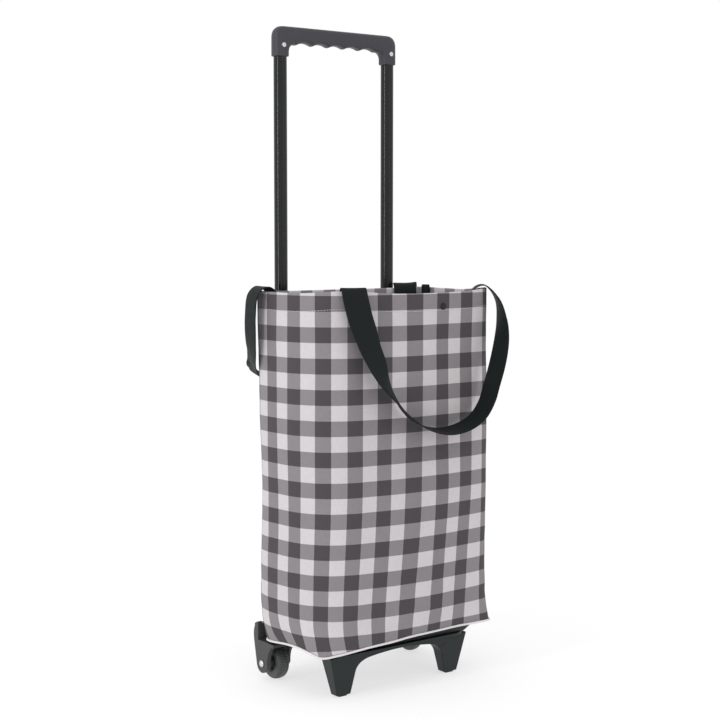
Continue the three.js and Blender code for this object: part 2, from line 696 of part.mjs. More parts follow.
function strapGeometry(stops, steps) {
  const path = new THREE.CatmullRomCurve3(stops.map(([x, y, z]) => new THREE.Vector3(x, y, z)), false, 'centripetal');
  const turns = new THREE.CatmullRomCurve3(stops.map((s) => new THREE.Vector3(s[3], s[4], 0)), false, 'centripetal');
  const spans = stops.length - 1;
  const vertices = [];
  const faces = [];
  for (let i = 0; i <= steps; i++) {
    const t = i / steps;
    const centre = path.getPoint(t);
    const along = path.getTangent(t);
    const index = Math.min(spans - 1, Math.floor(t * spans));
    const share = t * spans - index;
    const turn = THREE.MathUtils.degToRad(THREE.MathUtils.lerp(stops[index][3], stops[index + 1][3], share));
    const tilt = THREE.MathUtils.degToRad(THREE.MathUtils.lerp(stops[index][4], stops[index + 1][4], share));
    const across = new THREE.Vector3(Math.cos(turn) * Math.cos(tilt), Math.sin(turn) * Math.cos(tilt), Math.sin(tilt));
    across.addScaledVector(along, -across.dot(along)).normalize();
    const up = new THREE.Vector3().crossVectors(along, across);
    [[-1, -1], [1, -1], [1, 1], [-1, 1]].forEach(([u, v]) => {
      const corner = centre.clone();
      corner.addScaledVector(across, (u * strap.width) / 2);
      corner.addScaledVector(up, (v * strap.thickness) / 2);
      vertices.push(corner.x, corner.y, corner.z);
    });
    if (i === 0) continue;
    const a = (i - 1) * 4;
    const b = i * 4;
    for (let k = 0; k < 4; k++) {
      const n = (k + 1) % 4;
      faces.push(a + k, a + n, b + n, a + k, b + n, b + k);
    }
  }
  const last = steps * 4;
  faces.push(0, 2, 1, 0, 3, 2, last, last + 1, last + 2, last, last + 2, last + 3);
  const geometry = new THREE.BufferGeometry();
  geometry.setAttribute('position', new THREE.Float32BufferAttribute(vertices, 3));
  geometry.setIndex(faces);
  geometry.computeVertexNormals();
  return geometry;
}

function straps() {
  part('strap_front', strapGeometry(frontStops, 54), mats.webbing);
  part('strap_rear', strapGeometry(rearStops, 52), mats.webbing);
}

// ---------- snap fastener and side loop ----------

function snapHalf(name, face, outward, back) {
  const out = gap + snap.capHeight;
  const cap = [
    new THREE.Vector2(0, gap),
    new THREE.Vector2(snap.capR, gap),
    new THREE.Vector2(snap.capR, gap + 0.8),
    new THREE.Vector2(snap.capR * 0.6, out),
    new THREE.Vector2(0, out),
  ];
  const postR = 1.8;
  const behind = bag.wall + gap + hem.thickness + gap;
  const profile = [
    new THREE.Vector2(0, -behind - snap.backHeight - back),
    new THREE.Vector2(postR, -behind - snap.backHeight - back),
    new THREE.Vector2(postR, -behind - snap.backHeight),
    new THREE.Vector2(snap.backR, -behind - snap.backHeight),
    new THREE.Vector2(snap.backR, -behind),
    new THREE.Vector2(postR, -behind),
    new THREE.Vector2(postR, 0),
    new THREE.Vector2(0, 0),
  ];
  const turn = (geometry) => (outward < 0 ? geometry.rotateZ(Math.PI) : geometry);
  part(`snap_cap_${name}`, turn(new THREE.LatheGeometry(cap, 20)), mats.darkPlastic, snap.x, face, snap.z);
  part(`snap_${back > 0 ? 'stud' : 'socket'}_${name}`, turn(new THREE.LatheGeometry(profile, 20)), mats.steel, snap.x,
    face, snap.z);
}

function sideLoop() {
  const t = sideTab.thickness;
  const top = bag.top + sideTab.rise;
  const low = top - sideTab.drop;
  const strip = new THREE.Shape();
  strip.moveTo(-t, low);
  strip.lineTo(0, low);
  strip.lineTo(0, top);
  strip.absarc(-t * 1.5, top, t * 1.5, 0, Math.PI, false);
  strip.lineTo(-t * 3, low);
  strip.lineTo(-t * 2, low);
  strip.lineTo(-t * 2, top);
  strip.absarc(-t * 1.5, top, t * 0.5, Math.PI, 0, true);
  strip.closePath();
  const depth = { depth: sideTab.width, bevelEnabled: false, curveSegments: 6 };
  const geometry = new THREE.ExtrudeGeometry(strip, depth).rotateX(Math.PI / 2);
  geometry.translate(0, sideTab.width / 2, 0);
  const bearing = THREE.MathUtils.degToRad(sideTab.bearing);
  const corner = bagCorners.rearRight;
  const radius = corner - bag.wall - gap - hem.thickness - gap - sideTab.clear;
  const x = bag.halfWidth - corner + radius * Math.cos(bearing);
  const y = bag.halfDepth - corner + radius * Math.sin(bearing);
  part('side_loop', geometry, mats.webbing, x, y, 0).rotation.z = bearing;
}

// ---------- build ----------

bagPanels();
bagFloor();
baseTray();
legFrame();
baseScrews();
wheels();
handle();
rearPocket();
straps();
snapHalf('front', -bag.halfDepth, -1, 1.4);
snapHalf('rear', bag.halfDepth, 1, 0);
sideLoop();

root.position.set(originShift.x, originShift.y, 0);

export default root;
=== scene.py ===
"""Looks of a shopping trolley bag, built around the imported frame.

Everything is in metres in the row frame: +Z up, the bag's front towards -Y, the handle towards +Y.
"""

import json
import math

import bmesh
import bpy
import numpy as np
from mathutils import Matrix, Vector, noise


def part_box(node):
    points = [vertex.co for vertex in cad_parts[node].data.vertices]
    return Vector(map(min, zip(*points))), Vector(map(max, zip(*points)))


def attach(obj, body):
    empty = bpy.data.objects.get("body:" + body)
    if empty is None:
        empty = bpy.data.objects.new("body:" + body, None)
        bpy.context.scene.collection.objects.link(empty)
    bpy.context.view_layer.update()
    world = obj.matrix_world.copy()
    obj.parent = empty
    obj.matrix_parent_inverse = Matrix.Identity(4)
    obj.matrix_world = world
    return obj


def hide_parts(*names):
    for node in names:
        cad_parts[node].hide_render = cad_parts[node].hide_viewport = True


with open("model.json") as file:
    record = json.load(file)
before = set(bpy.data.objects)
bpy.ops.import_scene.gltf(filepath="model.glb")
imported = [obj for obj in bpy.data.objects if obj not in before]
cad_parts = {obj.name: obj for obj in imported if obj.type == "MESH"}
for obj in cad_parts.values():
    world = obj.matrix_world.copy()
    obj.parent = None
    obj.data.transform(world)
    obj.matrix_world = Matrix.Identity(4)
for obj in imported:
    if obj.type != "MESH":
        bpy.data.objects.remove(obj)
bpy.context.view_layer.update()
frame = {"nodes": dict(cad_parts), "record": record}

MM = 0.001
SIDES = (("left", -1), ("right", 1))

# ---------- places taken from the frame ----------

front_lo, front_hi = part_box("bag_front_panel")
RIM_Z = front_hi.z
BAG_FRONT = front_lo.y
BAG_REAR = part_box("bag_rear_panel")[1].y
BAG_BOTTOM = front_lo.z
tube_lo, tube_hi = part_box("inner_tube_right")
TUBE_X = (tube_lo.x + tube_hi.x) / 2
TUBE_Y = (tube_lo.y + tube_hi.y) / 2
TUBE_R = (tube_hi.x - tube_lo.x) / 2
ORIGIN_SHIFT = -15 * MM  # from the strap stops' own frame to the row frame, along Y

# ---------- node helpers ----------


class Look:
    """One procedural material and the few node calls that it needs."""

    def __init__(self, name, **sockets):
        self.material = bpy.data.materials.new(name)
        self.material.use_nodes = True
        self.tree = self.material.node_tree
        self.shader = self.tree.nodes["Principled BSDF"]
        for key, value in sockets.items():
            self.set(key.replace("_", " "), value)

    def set(self, socket, value):
        self.put(self.shader.inputs[socket], value)

    def put(self, socket, value):
        if isinstance(value, bpy.types.NodeSocket):
            self.tree.links.new(value, socket)
        elif hasattr(socket.default_value, "__len__") and len(value) == 3 and len(socket.default_value) == 4:
            socket.default_value = (*value, 1.0)
        else:
            socket.default_value = value

    def node(self, kind, inputs=None, **settings):
        made = self.tree.nodes.new("ShaderNode" + kind)
        for key, value in settings.items():
            setattr(made, key, value)
        for key, value in (inputs or {}).items():
            self.put(made.inputs[key], value)
        return made

    def math(self, operation, *values):
        return self.node("Math", dict(enumerate(values)), operation=operation).outputs[0]

    def mix(self, factor, a, b, blend="MIX"):
        made = self.node("MixRGB", {"Fac": factor, "Color1": a, "Color2": b}, blend_type=blend)
        return made.outputs["Color"]

    def noise(self, where, scale, detail=3.0, roughness=0.5):
        inputs = {"Vector": where, "Scale": scale, "Detail": detail, "Roughness": roughness}
        return self.node("TexNoise", inputs).outputs["Fac"]

    def remap(self, value, low, high):
        """A value from 0 to 1, taken to low to high."""
        return self.node("MapRange", {"Value": value, "To Min": low, "To Max": high}).outputs["Result"]

    def stretched(self, where, *scale):
        """A place scaled by its own amount along each axis, for grain that runs one way."""
        return self.node("Mapping", {"Vector": where, "Scale": scale}).outputs[0]

    def place(self):
        return self.node("TexCoord").outputs["Object"]

    def cloth(self):
        """The cloth map: along the cloth and up it, in metres."""
        return self.node("UVMap", uv_map="cloth").outputs["UV"]

    def bump(self, height, distance, strength=1.0, below=None):
        inputs = {"Height": height, "Distance": distance, "Strength": strength}
        if below is not None:
            inputs["Normal"] = below
        return self.node("Bump", inputs).outputs["Normal"]


# ---------- materials ----------

CHECK_COLUMN = 22.4 * MM
CHECK_ROW = 21.25 * MM
CHECK_COLUMN_START = -1 * MM
CHECK_ROW_START = 554.8 * MM
CHECK_LIGHT = (0.470, 0.445, 0.458)
CHECK_MID = (0.192, 0.178, 0.188)
CHECK_DARK = (0.056, 0.050, 0.055)


def weave(look, uv, pitch):
    """Over-and-under height of a plain weave, from 0 to 1."""
    split = look.node("SeparateXYZ", {0: uv})
    waves = []
    for axis, shift in (("X", 0.0), ("Y", math.pi / 2)):
        angle = look.math("MULTIPLY_ADD", split.outputs[axis], math.pi / pitch, shift)
        waves.append(look.math("SINE", angle))
    product = look.math("MULTIPLY", waves[0], waves[1])
    return look.math("MULTIPLY_ADD", product, 0.5, 0.5)


def stripe(look, value, width, start):
    """1 on every other stripe of a width, counted from start, and 0 between."""
    cycles = look.math("DIVIDE", look.math("SUBTRACT", value, start), 2 * width)
    return look.math("LESS_THAN", look.math("FRACT", cycles), 0.5)


def gingham():
    look = Look("checked_cloth", Specular_IOR_Level=0.2, Sheen_Weight=0.05, Sheen_Roughness=0.5)
    uv = look.cloth()
    split = look.node("SeparateXYZ", {0: uv})
    yarn = look.noise(uv, 900.0, 1.0)
    shake = look.math("MULTIPLY_ADD", yarn, 0.8 * MM, -0.4 * MM)
    across = look.math("ADD", split.outputs["X"], shake)
    down = look.math("SUBTRACT", CHECK_ROW_START, look.math("ADD", split.outputs["Y"], shake))
    warp = stripe(look, across, CHECK_COLUMN, CHECK_COLUMN_START)
    weft = stripe(look, down, CHECK_ROW, 0.0)
    first = look.mix(warp, CHECK_LIGHT, CHECK_MID)
    second = look.mix(warp, CHECK_MID, CHECK_DARK)
    colour = look.mix(weft, first, second)
    threads = weave(look, uv, 0.9 * MM)
    long_slubs = look.stretched(uv, 1600.0, 90.0, 1.0)
    cross_slubs = look.stretched(uv, 90.0, 1600.0, 1.0)
    slubs = look.math("ADD", look.noise(long_slubs, 1.0, 2.0), look.noise(cross_slubs, 1.0, 2.0))
    # The slubs are the yarn's own uneven tone; the weave's height adds a little painted shade, slightly
    # darker in the dips between threads.
    tone = look.math("ADD", look.remap(slubs, 0.72, 1.22), look.remap(threads, -0.05, 0.05))
    stain = look.remap(look.noise(uv, 14.0, 3.0), 0.95, 1.04)
    tone = look.math("MULTIPLY", tone, stain)
    tint = look.node("CombineXYZ", {"X": tone, "Y": tone, "Z": tone}).outputs[0]
    look.set("Base Color", look.mix(1.0, colour, tint, "MULTIPLY"))
    look.set("Roughness", look.remap(slubs, 0.74, 0.9))
    fine = look.bump(threads, 0.12 * MM, 0.8)
    look.set("Normal", look.bump(slubs, 0.15 * MM, 0.6, fine))
    return look.material


def plain_cloth(name, colour, pitch, sheen):
    look = Look(name, Sheen_Weight=sheen, Sheen_Roughness=0.5)
    where = look.place()
    threads = look.noise(where, 1 / pitch, 2.0)
    patches = look.noise(where, 40.0, 3.0)
    dark = tuple(c * 0.86 for c in colour)
    light = tuple(min(1.0, c * 1.1) for c in colour)
    factor = look.math("MULTIPLY_ADD", patches, 0.5, look.math("MULTIPLY", threads, 0.5))
    look.set("Base Color", look.mix(factor, dark, light))
    look.set("Roughness", look.remap(threads, 0.74, 0.92))
    look.set("Normal", look.bump(threads, 0.15 * MM, 0.8))
    return look.material


def webbing_look():
    """Polypropylene webbing: ribs along its length, crossed by fine picks."""
    look = Look("webbing_cloth", Specular_IOR_Level=0.12, Sheen_Weight=0.02, Sheen_Roughness=0.4)
    rib_pitch, pick_pitch = 1.75 * MM, 1.3 * MM
    uv = look.cloth()
    split = look.node("SeparateXYZ", {0: uv})
    rib = look.math("SINE", look.math("MULTIPLY", split.outputs["X"], 2 * math.pi / rib_pitch))
    slant = look.math("ADD", split.outputs["Y"], look.math("PINGPONG", split.outputs["X"], rib_pitch))
    pick = look.math("SINE", look.math("MULTIPLY", slant, 2 * math.pi / pick_pitch))
    height = look.math("MULTIPLY_ADD", rib, 0.32, look.math("MULTIPLY_ADD", pick, 0.18, 0.5))
    fibres = look.noise(look.stretched(uv, 2600.0, 160.0, 1.0), 1.0, 2.0)
    # The weave's height darkens the colour in its low parts: painted shade in the grooves between ribs and
    # picks, mixed with the fibres' own random tone.
    factor = look.math("MULTIPLY", height, look.remap(fibres, 0.6, 1.3))
    look.set("Base Color", look.mix(factor, (0.0035, 0.0055, 0.0055), (0.013, 0.018, 0.0175)))
    look.set("Roughness", look.remap(fibres, 0.5, 0.72))
    look.set("Normal", look.bump(height, 0.22 * MM, 0.9))
    return look.material


def moulded(name, colour, roughness, grain=0.5 * MM, depth=0.03 * MM, coat=0.0):
    """Injection-moulded plastic: fine spark-eroded grain, faint flow marks and uneven gloss."""
    look = Look(name, Specular_IOR_Level=0.3, Coat_Weight=coat, Coat_Roughness=0.3)
    where = look.place()
    flow = look.noise(where, 18.0, 4.0)
    speck = look.noise(where, 1 / grain, 2.0)
    scuff = look.noise(look.stretched(where, 240.0, 240.0, 30.0), 1.0, 4.0)
    dark = tuple(c * 0.82 for c in colour)
    light = tuple(c * 1.22 for c in colour)
    factor = look.math("MULTIPLY_ADD", flow, 0.6, look.math("MULTIPLY", speck, 0.4))
    look.set("Base Color", look.mix(factor, dark, light))
    worn = look.math("MULTIPLY_ADD", scuff, 0.10, look.math("MULTIPLY_ADD", flow, 0.12, roughness - 0.11))
    look.set("Roughness", worn)
    look.set("Normal", look.bump(speck, depth, 0.8))
    return look.material


def gloss_tube_look():
    look = Look("gloss_black_coating", Specular_IOR_Level=0.25, Coat_Weight=0.1, Coat_Roughness=0.08)
    where = look.place()
    drawn = look.noise(look.stretched(where, 120.0, 120.0, 5.0), 1.0, 3.0)
    orange_peel = look.noise(where, 420.0, 2.0)
    look.set("Base Color", look.mix(drawn, (0.004, 0.004, 0.005), (0.009, 0.010, 0.011)))
    look.set("Roughness", look.remap(drawn, 0.14, 0.19))
    look.set("Normal", look.bump(orange_peel, 0.002 * MM, 0.4))
    return look.material


def metal(name, colour, roughness):
    look = Look(name, Metallic=1.0)
    where = look.place()
    plating = look.noise(where, 500.0, 3.0)
    scratch = look.noise(look.stretched(where, 90.0, 3000.0, 900.0), 1.0, 2.0)
    look.set("Base Color", look.mix(plating, tuple(c * 0.85 for c in colour), colour))
    look.set("Roughness", look.math("MULTIPLY_ADD", scratch, 0.2, roughness - 0.1))
    look.set("Normal", look.bump(scratch, 0.01 * MM, 0.5))
    return look.material


def tyre_look():
    """Smoky polyurethane: satin, with dust in its marks and faint moulding swirls."""
    look = Look("smoky_polyurethane", Specular_IOR_Level=0.35, Coat_Weight=0.1, Coat_Roughness=0.35)
    where = look.place()
    swirl = look.noise(where, 60.0, 5.0, 0.6)
    dust = look.noise(where, 700.0, 3.0)
    factor = look.math("MULTIPLY_ADD", swirl, 0.7, look.math("MULTIPLY", dust, 0.3))
    look.set("Base Color", look.mix(factor, (0.026, 0.027, 0.029), (0.095, 0.097, 0.098)))
    look.set("Roughness", look.remap(dust, 0.34, 0.55))
    look.set("Normal", look.bump(dust, 0.03 * MM, 0.7))
    return look.material


def board_look():
    look = Look("pressed_board", Roughness=0.85)
    where = look.place()
    fibre = look.noise(look.stretched(where, 300.0, 900.0, 300.0), 1.0, 5.0)
    look.set("Base Color", look.mix(fibre, (0.055, 0.050, 0.046), (0.13, 0.12, 0.11)))
    look.set("Roughness", look.remap(fibre, 0.75, 0.95))
    look.set("Normal", look.bump(fibre, 0.1 * MM, 0.7))
    return look.material


LOOKS = {
    "check_fabric": gingham(),
    "trim_fabric": plain_cloth("edge_cord_cloth", (0.70, 0.67, 0.68), 0.5 * MM, 0.2),
    "lining_fabric": plain_cloth("coated_bottom_cloth", (0.022, 0.023, 0.024), 0.7 * MM, 0.0),
    "insert_board": board_look(),
    "webbing": webbing_look(),
    "dark_plastic": moulded("dark_moulding", (0.0085, 0.0135, 0.0135), 0.40, 0.45 * MM, 0.035 * MM),
    "grey_plastic": moulded("grey_moulding", (0.052, 0.052, 0.054), 0.45, 0.5 * MM, 0.03 * MM),
    "grip_plastic": moulded("grip_moulding", (0.042, 0.042, 0.049), 0.42, 0.4 * MM, 0.03 * MM),
    "black_tube": gloss_tube_look(),
    "steel": metal("bright_zinc", (0.72, 0.73, 0.74), 0.28),
    "snap_black": moulded("black_lacquer", (0.006, 0.006, 0.0065), 0.34, 1.2 * MM, 0.01 * MM, 0.05),
    "nylon": moulded("natural_nylon", (0.66, 0.65, 0.60), 0.42, 0.6 * MM, 0.02 * MM),
    "rubber_pad": moulded("matt_rubber", (0.014, 0.014, 0.014), 0.82, 0.35 * MM, 0.05 * MM),
    "tyre": tyre_look(),
    "wheel_hub": moulded("hub_moulding", (0.045, 0.046, 0.047), 0.36, 0.5 * MM, 0.02 * MM),
}
THREAD = plain_cloth("sewing_thread", (0.66, 0.64, 0.65), 0.25 * MM, 0.1)

# ---------- mesh helpers ----------


def piece(name, verts, faces, slot, body, uvs=None, material=None, replaces=()):
    """A smooth mesh piece with its material, its body, its slot and the CAD nodes that it stands for."""
    mesh = bpy.data.meshes.new(name)
    mesh.from_pydata([tuple(v) for v in verts], [], [tuple(f) for f in faces])
    mesh.polygons.foreach_set("use_smooth", [True] * len(mesh.polygons))
    if uvs is not None:
        layer = mesh.uv_layers.new(name="cloth")
        corners = np.zeros(len(mesh.loops), np.int32)
        mesh.loops.foreach_get("vertex_index", corners)
        layer.data.foreach_set("uv", np.asarray(uvs, np.float32)[corners].ravel())
    mesh.materials.append(material or LOOKS[slot])
    mesh.update()
    made = bpy.data.objects.new(name, mesh)
    bpy.context.scene.collection.objects.link(made)
    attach(made, body)
    if replaces:
        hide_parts(*replaces)
    return made


def grid_faces(rows, columns, closed_columns=False, closed_rows=False, start=0):
    """Quads of a grid of points stored row by row."""
    faces = []
    for r in range(rows if closed_rows else rows - 1):
        for c in range(columns if closed_columns else columns - 1):
            a = r * columns + c
            b = r * columns + (c + 1) % columns
            step = ((r + 1) % rows) * columns
            faces.append((start + a, start + b, start + step + b - r * columns, start + step + c))
    return faces


def closed_faces(rows, columns):
    """A grid that closes round its columns, with its first and last rows filled."""
    last = (rows - 1) * columns
    ends = [tuple(range(columns))[::-1], tuple(range(last, last + columns))]
    return grid_faces(rows, columns, closed_columns=True) + ends


def modifier(made, kind, **settings):
    added = made.modifiers.new(kind.lower(), kind)
    for key, value in settings.items():
        setattr(added, key, value)
    return added


def catmull(points, per, closed):
    """A centripetal Catmull-Rom curve through points, with per samples on each span."""
    p = np.asarray(points, float)
    if closed:
        p = np.vstack([p[-1:], p, p[:2]])
    else:
        p = np.vstack([2 * p[:1] - p[1:2], p, 2 * p[-1:] - p[-2:-1]])
    out = []
    for i in range(1, len(p) - 2):
        a, b, c, d = p[i - 1:i + 3]
        t1 = max(np.linalg.norm((b - a)[:3]), 1e-9) ** 0.5
        t2 = t1 + max(np.linalg.norm((c - b)[:3]), 1e-9) ** 0.5
        t3 = t2 + max(np.linalg.norm((d - c)[:3]), 1e-9) ** 0.5
        for t in np.linspace(t1, t2, per, endpoint=False):
            ab = a + (b - a) * t / t1
            bc = b + (c - b) * (t - t1) / (t2 - t1)
            cd = c + (d - c) * (t - t2) / (t3 - t2)
            abc = ab + (bc - ab) * t / t2
            bcd = bc + (cd - bc) * (t - t1) / (t3 - t1)
            out.append(abc + (bcd - abc) * (t - t1) / (t2 - t1))
    if not closed:
        out.append(p[-2])
    return np.array(out)


def arc_lengths(points):
    steps = np.linalg.norm(np.diff(points, axis=0), axis=1)
    return np.concatenate([[0.0], np.cumsum(steps)])


def turned(name, profile, centre, axis, slot, body, segments=64, shape=None, **more):
    """A turned piece: profile is [(radius, distance along axis)], in metres.

    shape(angle, radius, distance) gives the radius and distance that a point has instead.
    """
    z = Vector(axis).normalized()
    x = z.orthogonal().normalized()
    y = z.cross(x)
    verts = []
    for r, h in profile:
        for k in range(segments):
            angle = 2 * math.pi * k / segments
            rr, hh = shape(angle, r, h) if shape else (r, h)
            verts.append(Vector(centre) + (x * math.cos(angle) + y * math.sin(angle)) * rr + z * hh)
    if profile[0] != profile[-1]:
        faces = closed_faces(len(profile), segments)
    else:
        n = (len(profile) - 1) * segments
        verts = verts[:n]
        faces = [tuple(v % n for v in f) for f in grid_faces(len(profile), segments, closed_columns=True)]
    made = piece(name, verts, faces, slot, body, **more)
    fix_normals(made)
    return made


def fix_normals(made):
    work = bmesh.new()
    work.from_mesh(made.data)
    bmesh.ops.recalc_face_normals(work, faces=work.faces)
    work.to_mesh(made.data)
    work.free()


def stitches(name, points, out, slot, body, length=3.0 * MM, gap=1.2 * MM, radius=0.32 * MM):
    """A row of sewn stitches along points. out gives the surface's outward direction at each point."""
    points, out = np.asarray(points, float), np.asarray(out, float)
    along = arc_lengths(points)
    verts, faces = [], []
    rings, around = 5, 6
    start = 0.0
    while start + length < along[-1]:
        base = len(verts)
        for i in range(rings):
            t = i / (rings - 1)
            s = start + length * t
            centre = Vector([np.interp(s, along, points[:, k]) for k in range(3)])
            ahead = Vector([np.interp(s + 0.5 * MM, along, points[:, k]) for k in range(3)])
            normal = Vector([np.interp(s, along, out[:, k]) for k in range(3)]).normalized()
            forward = (ahead - centre).normalized() if (ahead - centre).length > 1e-9 else Vector((0, 0, 1))
            side = forward.cross(normal).normalized()
            bulge = math.sin(math.pi * (0.12 + 0.76 * t))
            for k in range(around):
                angle = 2 * math.pi * k / around
                lift = normal * (radius * (0.7 * bulge - 0.25) + radius * bulge * 0.8 * math.sin(angle))
                verts.append(centre + lift + side * radius * bulge * math.cos(angle))
        faces += grid_faces(rings, around, closed_columns=True, start=base)
        faces.append(tuple(base + k for k in range(around))[::-1])
        faces.append(tuple(base + (rings - 1) * around + k for k in range(around)))
        start += length + gap
    made = piece(name, verts, faces, slot, body, material=THREAD)
    fix_normals(made)
    return made


# ---------- the bag ----------

# Plan of the bag in mm, from the middle of the front round by the right: at the bottom seam, at half
# height and at the rim. The seam and the rim have a height of their own at each point.
SEAM = [
    (0, -94, 75), (46, -94, 76), (89, -94, 77), (122, -96, 77), (146, -95, 77), (153, -85, 76),
    (150, -32, 72), (149, 10, 68), (137, 56, 64), (95, 66, 63), (0, 66, 63), (-95, 66, 63), (-137, 57, 63),
    (-148, 38, 65), (-149, -8, 70), (-149, -38, 71), (-148, -62, 69), (-141, -80, 65), (-118, -88, 67),
    (-70, -92, 71), (-30, -94, 73),
]
MIDDLE = [
    (0, -98), (46, -98.5), (89, -96.5), (122, -94.5), (146, -87.5), (153, -70), (152.5, -30), (150.5, 10),
    (140, 60), (95, 68), (0, 68), (-95, 68), (-141, 63), (-151, 46), (-150, -8), (-144.5, -33),
    (-133.5, -54), (-117.5, -70), (-93.5, -81.5), (-60, -88.5), (-28, -95),
]
RIM = [
    (0, -98, 556), (46, -98.5, 556), (89, -97, 557), (121, -94.5, 558.5), (145, -87, 561), (152, -69, 560),
    (151, -30, 557), (150.5, 15, 557), (140, 60, 558), (95, 68, 557), (0, 68, 557), (-95, 68, 557),
    (-147, 65, 558), (-153, 52, 558.5), (-151, -8, 558), (-145, -33, 558), (-134, -54, 559),
    (-118, -70, 560.5), (-94, -82, 560.5), (-60, -89, 558.5), (-28, -95, 556.5),
]
PER_SPAN = 11
SEAM_EASE = 42 * MM       # height over which the wall leaves the bottom seam
RIM_EASE = (300 * MM, 520 * MM)
WALL_STEP = 4.6 * MM
HEM_DROP = 26 * MM
FOLD_R = 1.5 * MM
CLOTH = 0.9 * MM
CLOTH_ROUND = 0.866       # all the way round the bag, along the cloth, in metres


def smooth(t):
    t = min(1.0, max(0.0, t))
    return t * t * (3 - 2 * t)


seam_loop = catmull(np.array(SEAM) * MM, PER_SPAN, True)
middle_loop = catmull(np.array(MIDDLE) * MM, PER_SPAN, True)
rim_loop = catmull(np.array(RIM) * MM, PER_SPAN, True)
COLUMNS = len(seam_loop)


def loop_normals(loop):
    """Outward directions of a closed plan curve that runs anticlockwise seen from above."""
    tangent = np.roll(loop, -1, 0) - np.roll(loop, 1, 0)
    normal = np.stack([tangent[:, 1], -tangent[:, 0]], 1)
    return normal / np.linalg.norm(normal, axis=1)[:, None]


def wall_plan(z):
    """Plan of the wall at heights z, one for each column of the mesh."""
    out = np.zeros((COLUMNS, 2))
    for c in range(COLUMNS):
        low = seam_loop[c]
        high_share = smooth((z[c] - RIM_EASE[0]) / (RIM_EASE[1] - RIM_EASE[0]))
        body_point = middle_loop[c] * (1 - high_share) + rim_loop[c][:2] * high_share
        rise = min(1.0, max(0.0, (z[c] - low[2]) / SEAM_EASE))
        out_share = math.sin(rise * math.pi / 2) ** 0.8
        out[c] = low[:2] * (1 - out_share) + body_point * out_share
    return out


def sag(x, y, z):
    """How far the slack cloth stands out of, or sinks into, its smooth shape."""
    height = (z - BAG_BOTTOM) / (RIM_Z - BAG_BOTTOM)
    free = smooth(height / 0.16) * smooth((1.0 - height) / 0.14)
    broad = noise.noise(Vector((x * 9 + 3.1, y * 9, z * 6 + 1.7)))
    folds = noise.noise(Vector((x * 34, y * 34 + 5.0, z * 9)))
    creases = noise.noise(Vector((x * 60 + z * 25, y * 60, z * 45 - x * 20)))
    low = smooth((0.30 - height) / 0.25) * smooth(height / 0.05)
    return (2.6 * broad * free + 1.1 * folds * free + 0.8 * creases * (0.35 * free + low)) * MM


def sags(plan, z):
    """The sag of each column of a row of the wall, from its plan and its heights."""
    return np.array([sag(*plan[c], z[c]) for c in range(COLUMNS)])


def pattern_shift(s, z):
    """The checks lean towards the left as they near the bottom, and the front's middle is pulled wide."""
    lean, pull = 12 * MM, 9 * MM
    drop = smooth((300 * MM - z) / (220 * MM))
    front = smooth((s + 230 * MM) / (230 * MM)) * smooth((150 * MM - s) / (50 * MM))
    pulled = (1 - smooth((s + 20 * MM) / (60 * MM))) * smooth((s + 420 * MM) / (120 * MM))
    return lean * drop * front + pull * pulled


def wall_arcs(plan):
    """Distance along the cloth of each column from the middle of the front, to the right positive."""
    steps = np.linalg.norm(np.roll(plan, -1, 0) - plan, axis=1)
    total = steps.sum()
    s = np.concatenate([[0.0], np.cumsum(steps)[:-1]])
    return np.where(s > total / 2, s - total, s)


def wall_rows():
    """Rows of the wall from the seam to the fold of the rim, as heights for each column."""
    seam_z, top_z = seam_loop[:, 2], rim_loop[:, 2] - FOLD_R
    count = int((RIM_Z - BAG_BOTTOM) / WALL_STEP)
    shares = np.linspace(0, 1, count) ** 1.15
    return [seam_z + (top_z - seam_z) * t for t in shares]


def bag_shell():
    verts, uvs = [], []
    previous, climbed = None, np.zeros(COLUMNS)
    top_z = rim_loop[:, 2] - FOLD_R
    for z in wall_rows():
        plan = wall_plan(z)
        normal = loop_normals(plan)
        push = sags(plan, z)
        points = np.column_stack([plan + normal * push[:, None], z])
        if previous is not None:
            climbed = climbed + np.linalg.norm(points - previous, axis=1)
        previous = points
        verts.extend(points)
        across = [s + pattern_shift(s, height) for s, height in zip(wall_arcs(plan), z)]
        uvs.append(np.column_stack([across, climbed]))
    for row in uvs:
        row[:, 1] += top_z - climbed
    top, top_normal = previous, normal
    s = uvs[-1][:, 0]
    fold_steps = 5
    for k in range(1, fold_steps + 1):
        angle = math.pi * k / fold_steps
        inward = FOLD_R * (1 - math.cos(angle))
        points = top.copy()
        points[:, :2] -= top_normal * inward
        points[:, 2] += FOLD_R * math.sin(angle)
        verts.extend(points)
        uvs.append(np.column_stack([s, top_z + FOLD_R * angle]))
    inner = points
    hem_rows = 6
    for k in range(1, hem_rows + 1):
        drop = HEM_DROP * k / hem_rows
        points = inner.copy()
        points[:, 2] -= drop
        points[:, :2] += top_normal * 0.5 * MM * (k / hem_rows)
        verts.extend(points)
        uvs.append(np.column_stack([s, top_z + FOLD_R * math.pi + drop]))
    uvs = np.vstack(uvs)
    rows = len(verts) // COLUMNS
    faces = grid_faces(rows, COLUMNS, closed_columns=True)
    shell = piece("bag_shell", verts, faces, "check_fabric", "frame", uvs=uvs, replaces=[
        "bag_front_panel", "bag_rear_panel", "bag_side_panel_left", "bag_side_panel_right", "rim_hem"])
    fix_seam_uvs(shell)
    modifier(shell, "SOLIDIFY", thickness=CLOTH, offset=-1.0, use_quality_normals=True)


def fix_seam_uvs(made):
    """At the join in the middle of the rear the map starts again, so its faces take one side's count."""
    layer = made.data.uv_layers["cloth"]
    for face in made.data.polygons:
        us = [layer.data[i].uv.x for i in face.loop_indices]
        if max(us) - min(us) > CLOTH_ROUND / 2:
            for i in face.loop_indices:
                if layer.data[i].uv.x < 0:
                    layer.data[i].uv.x += CLOTH_ROUND


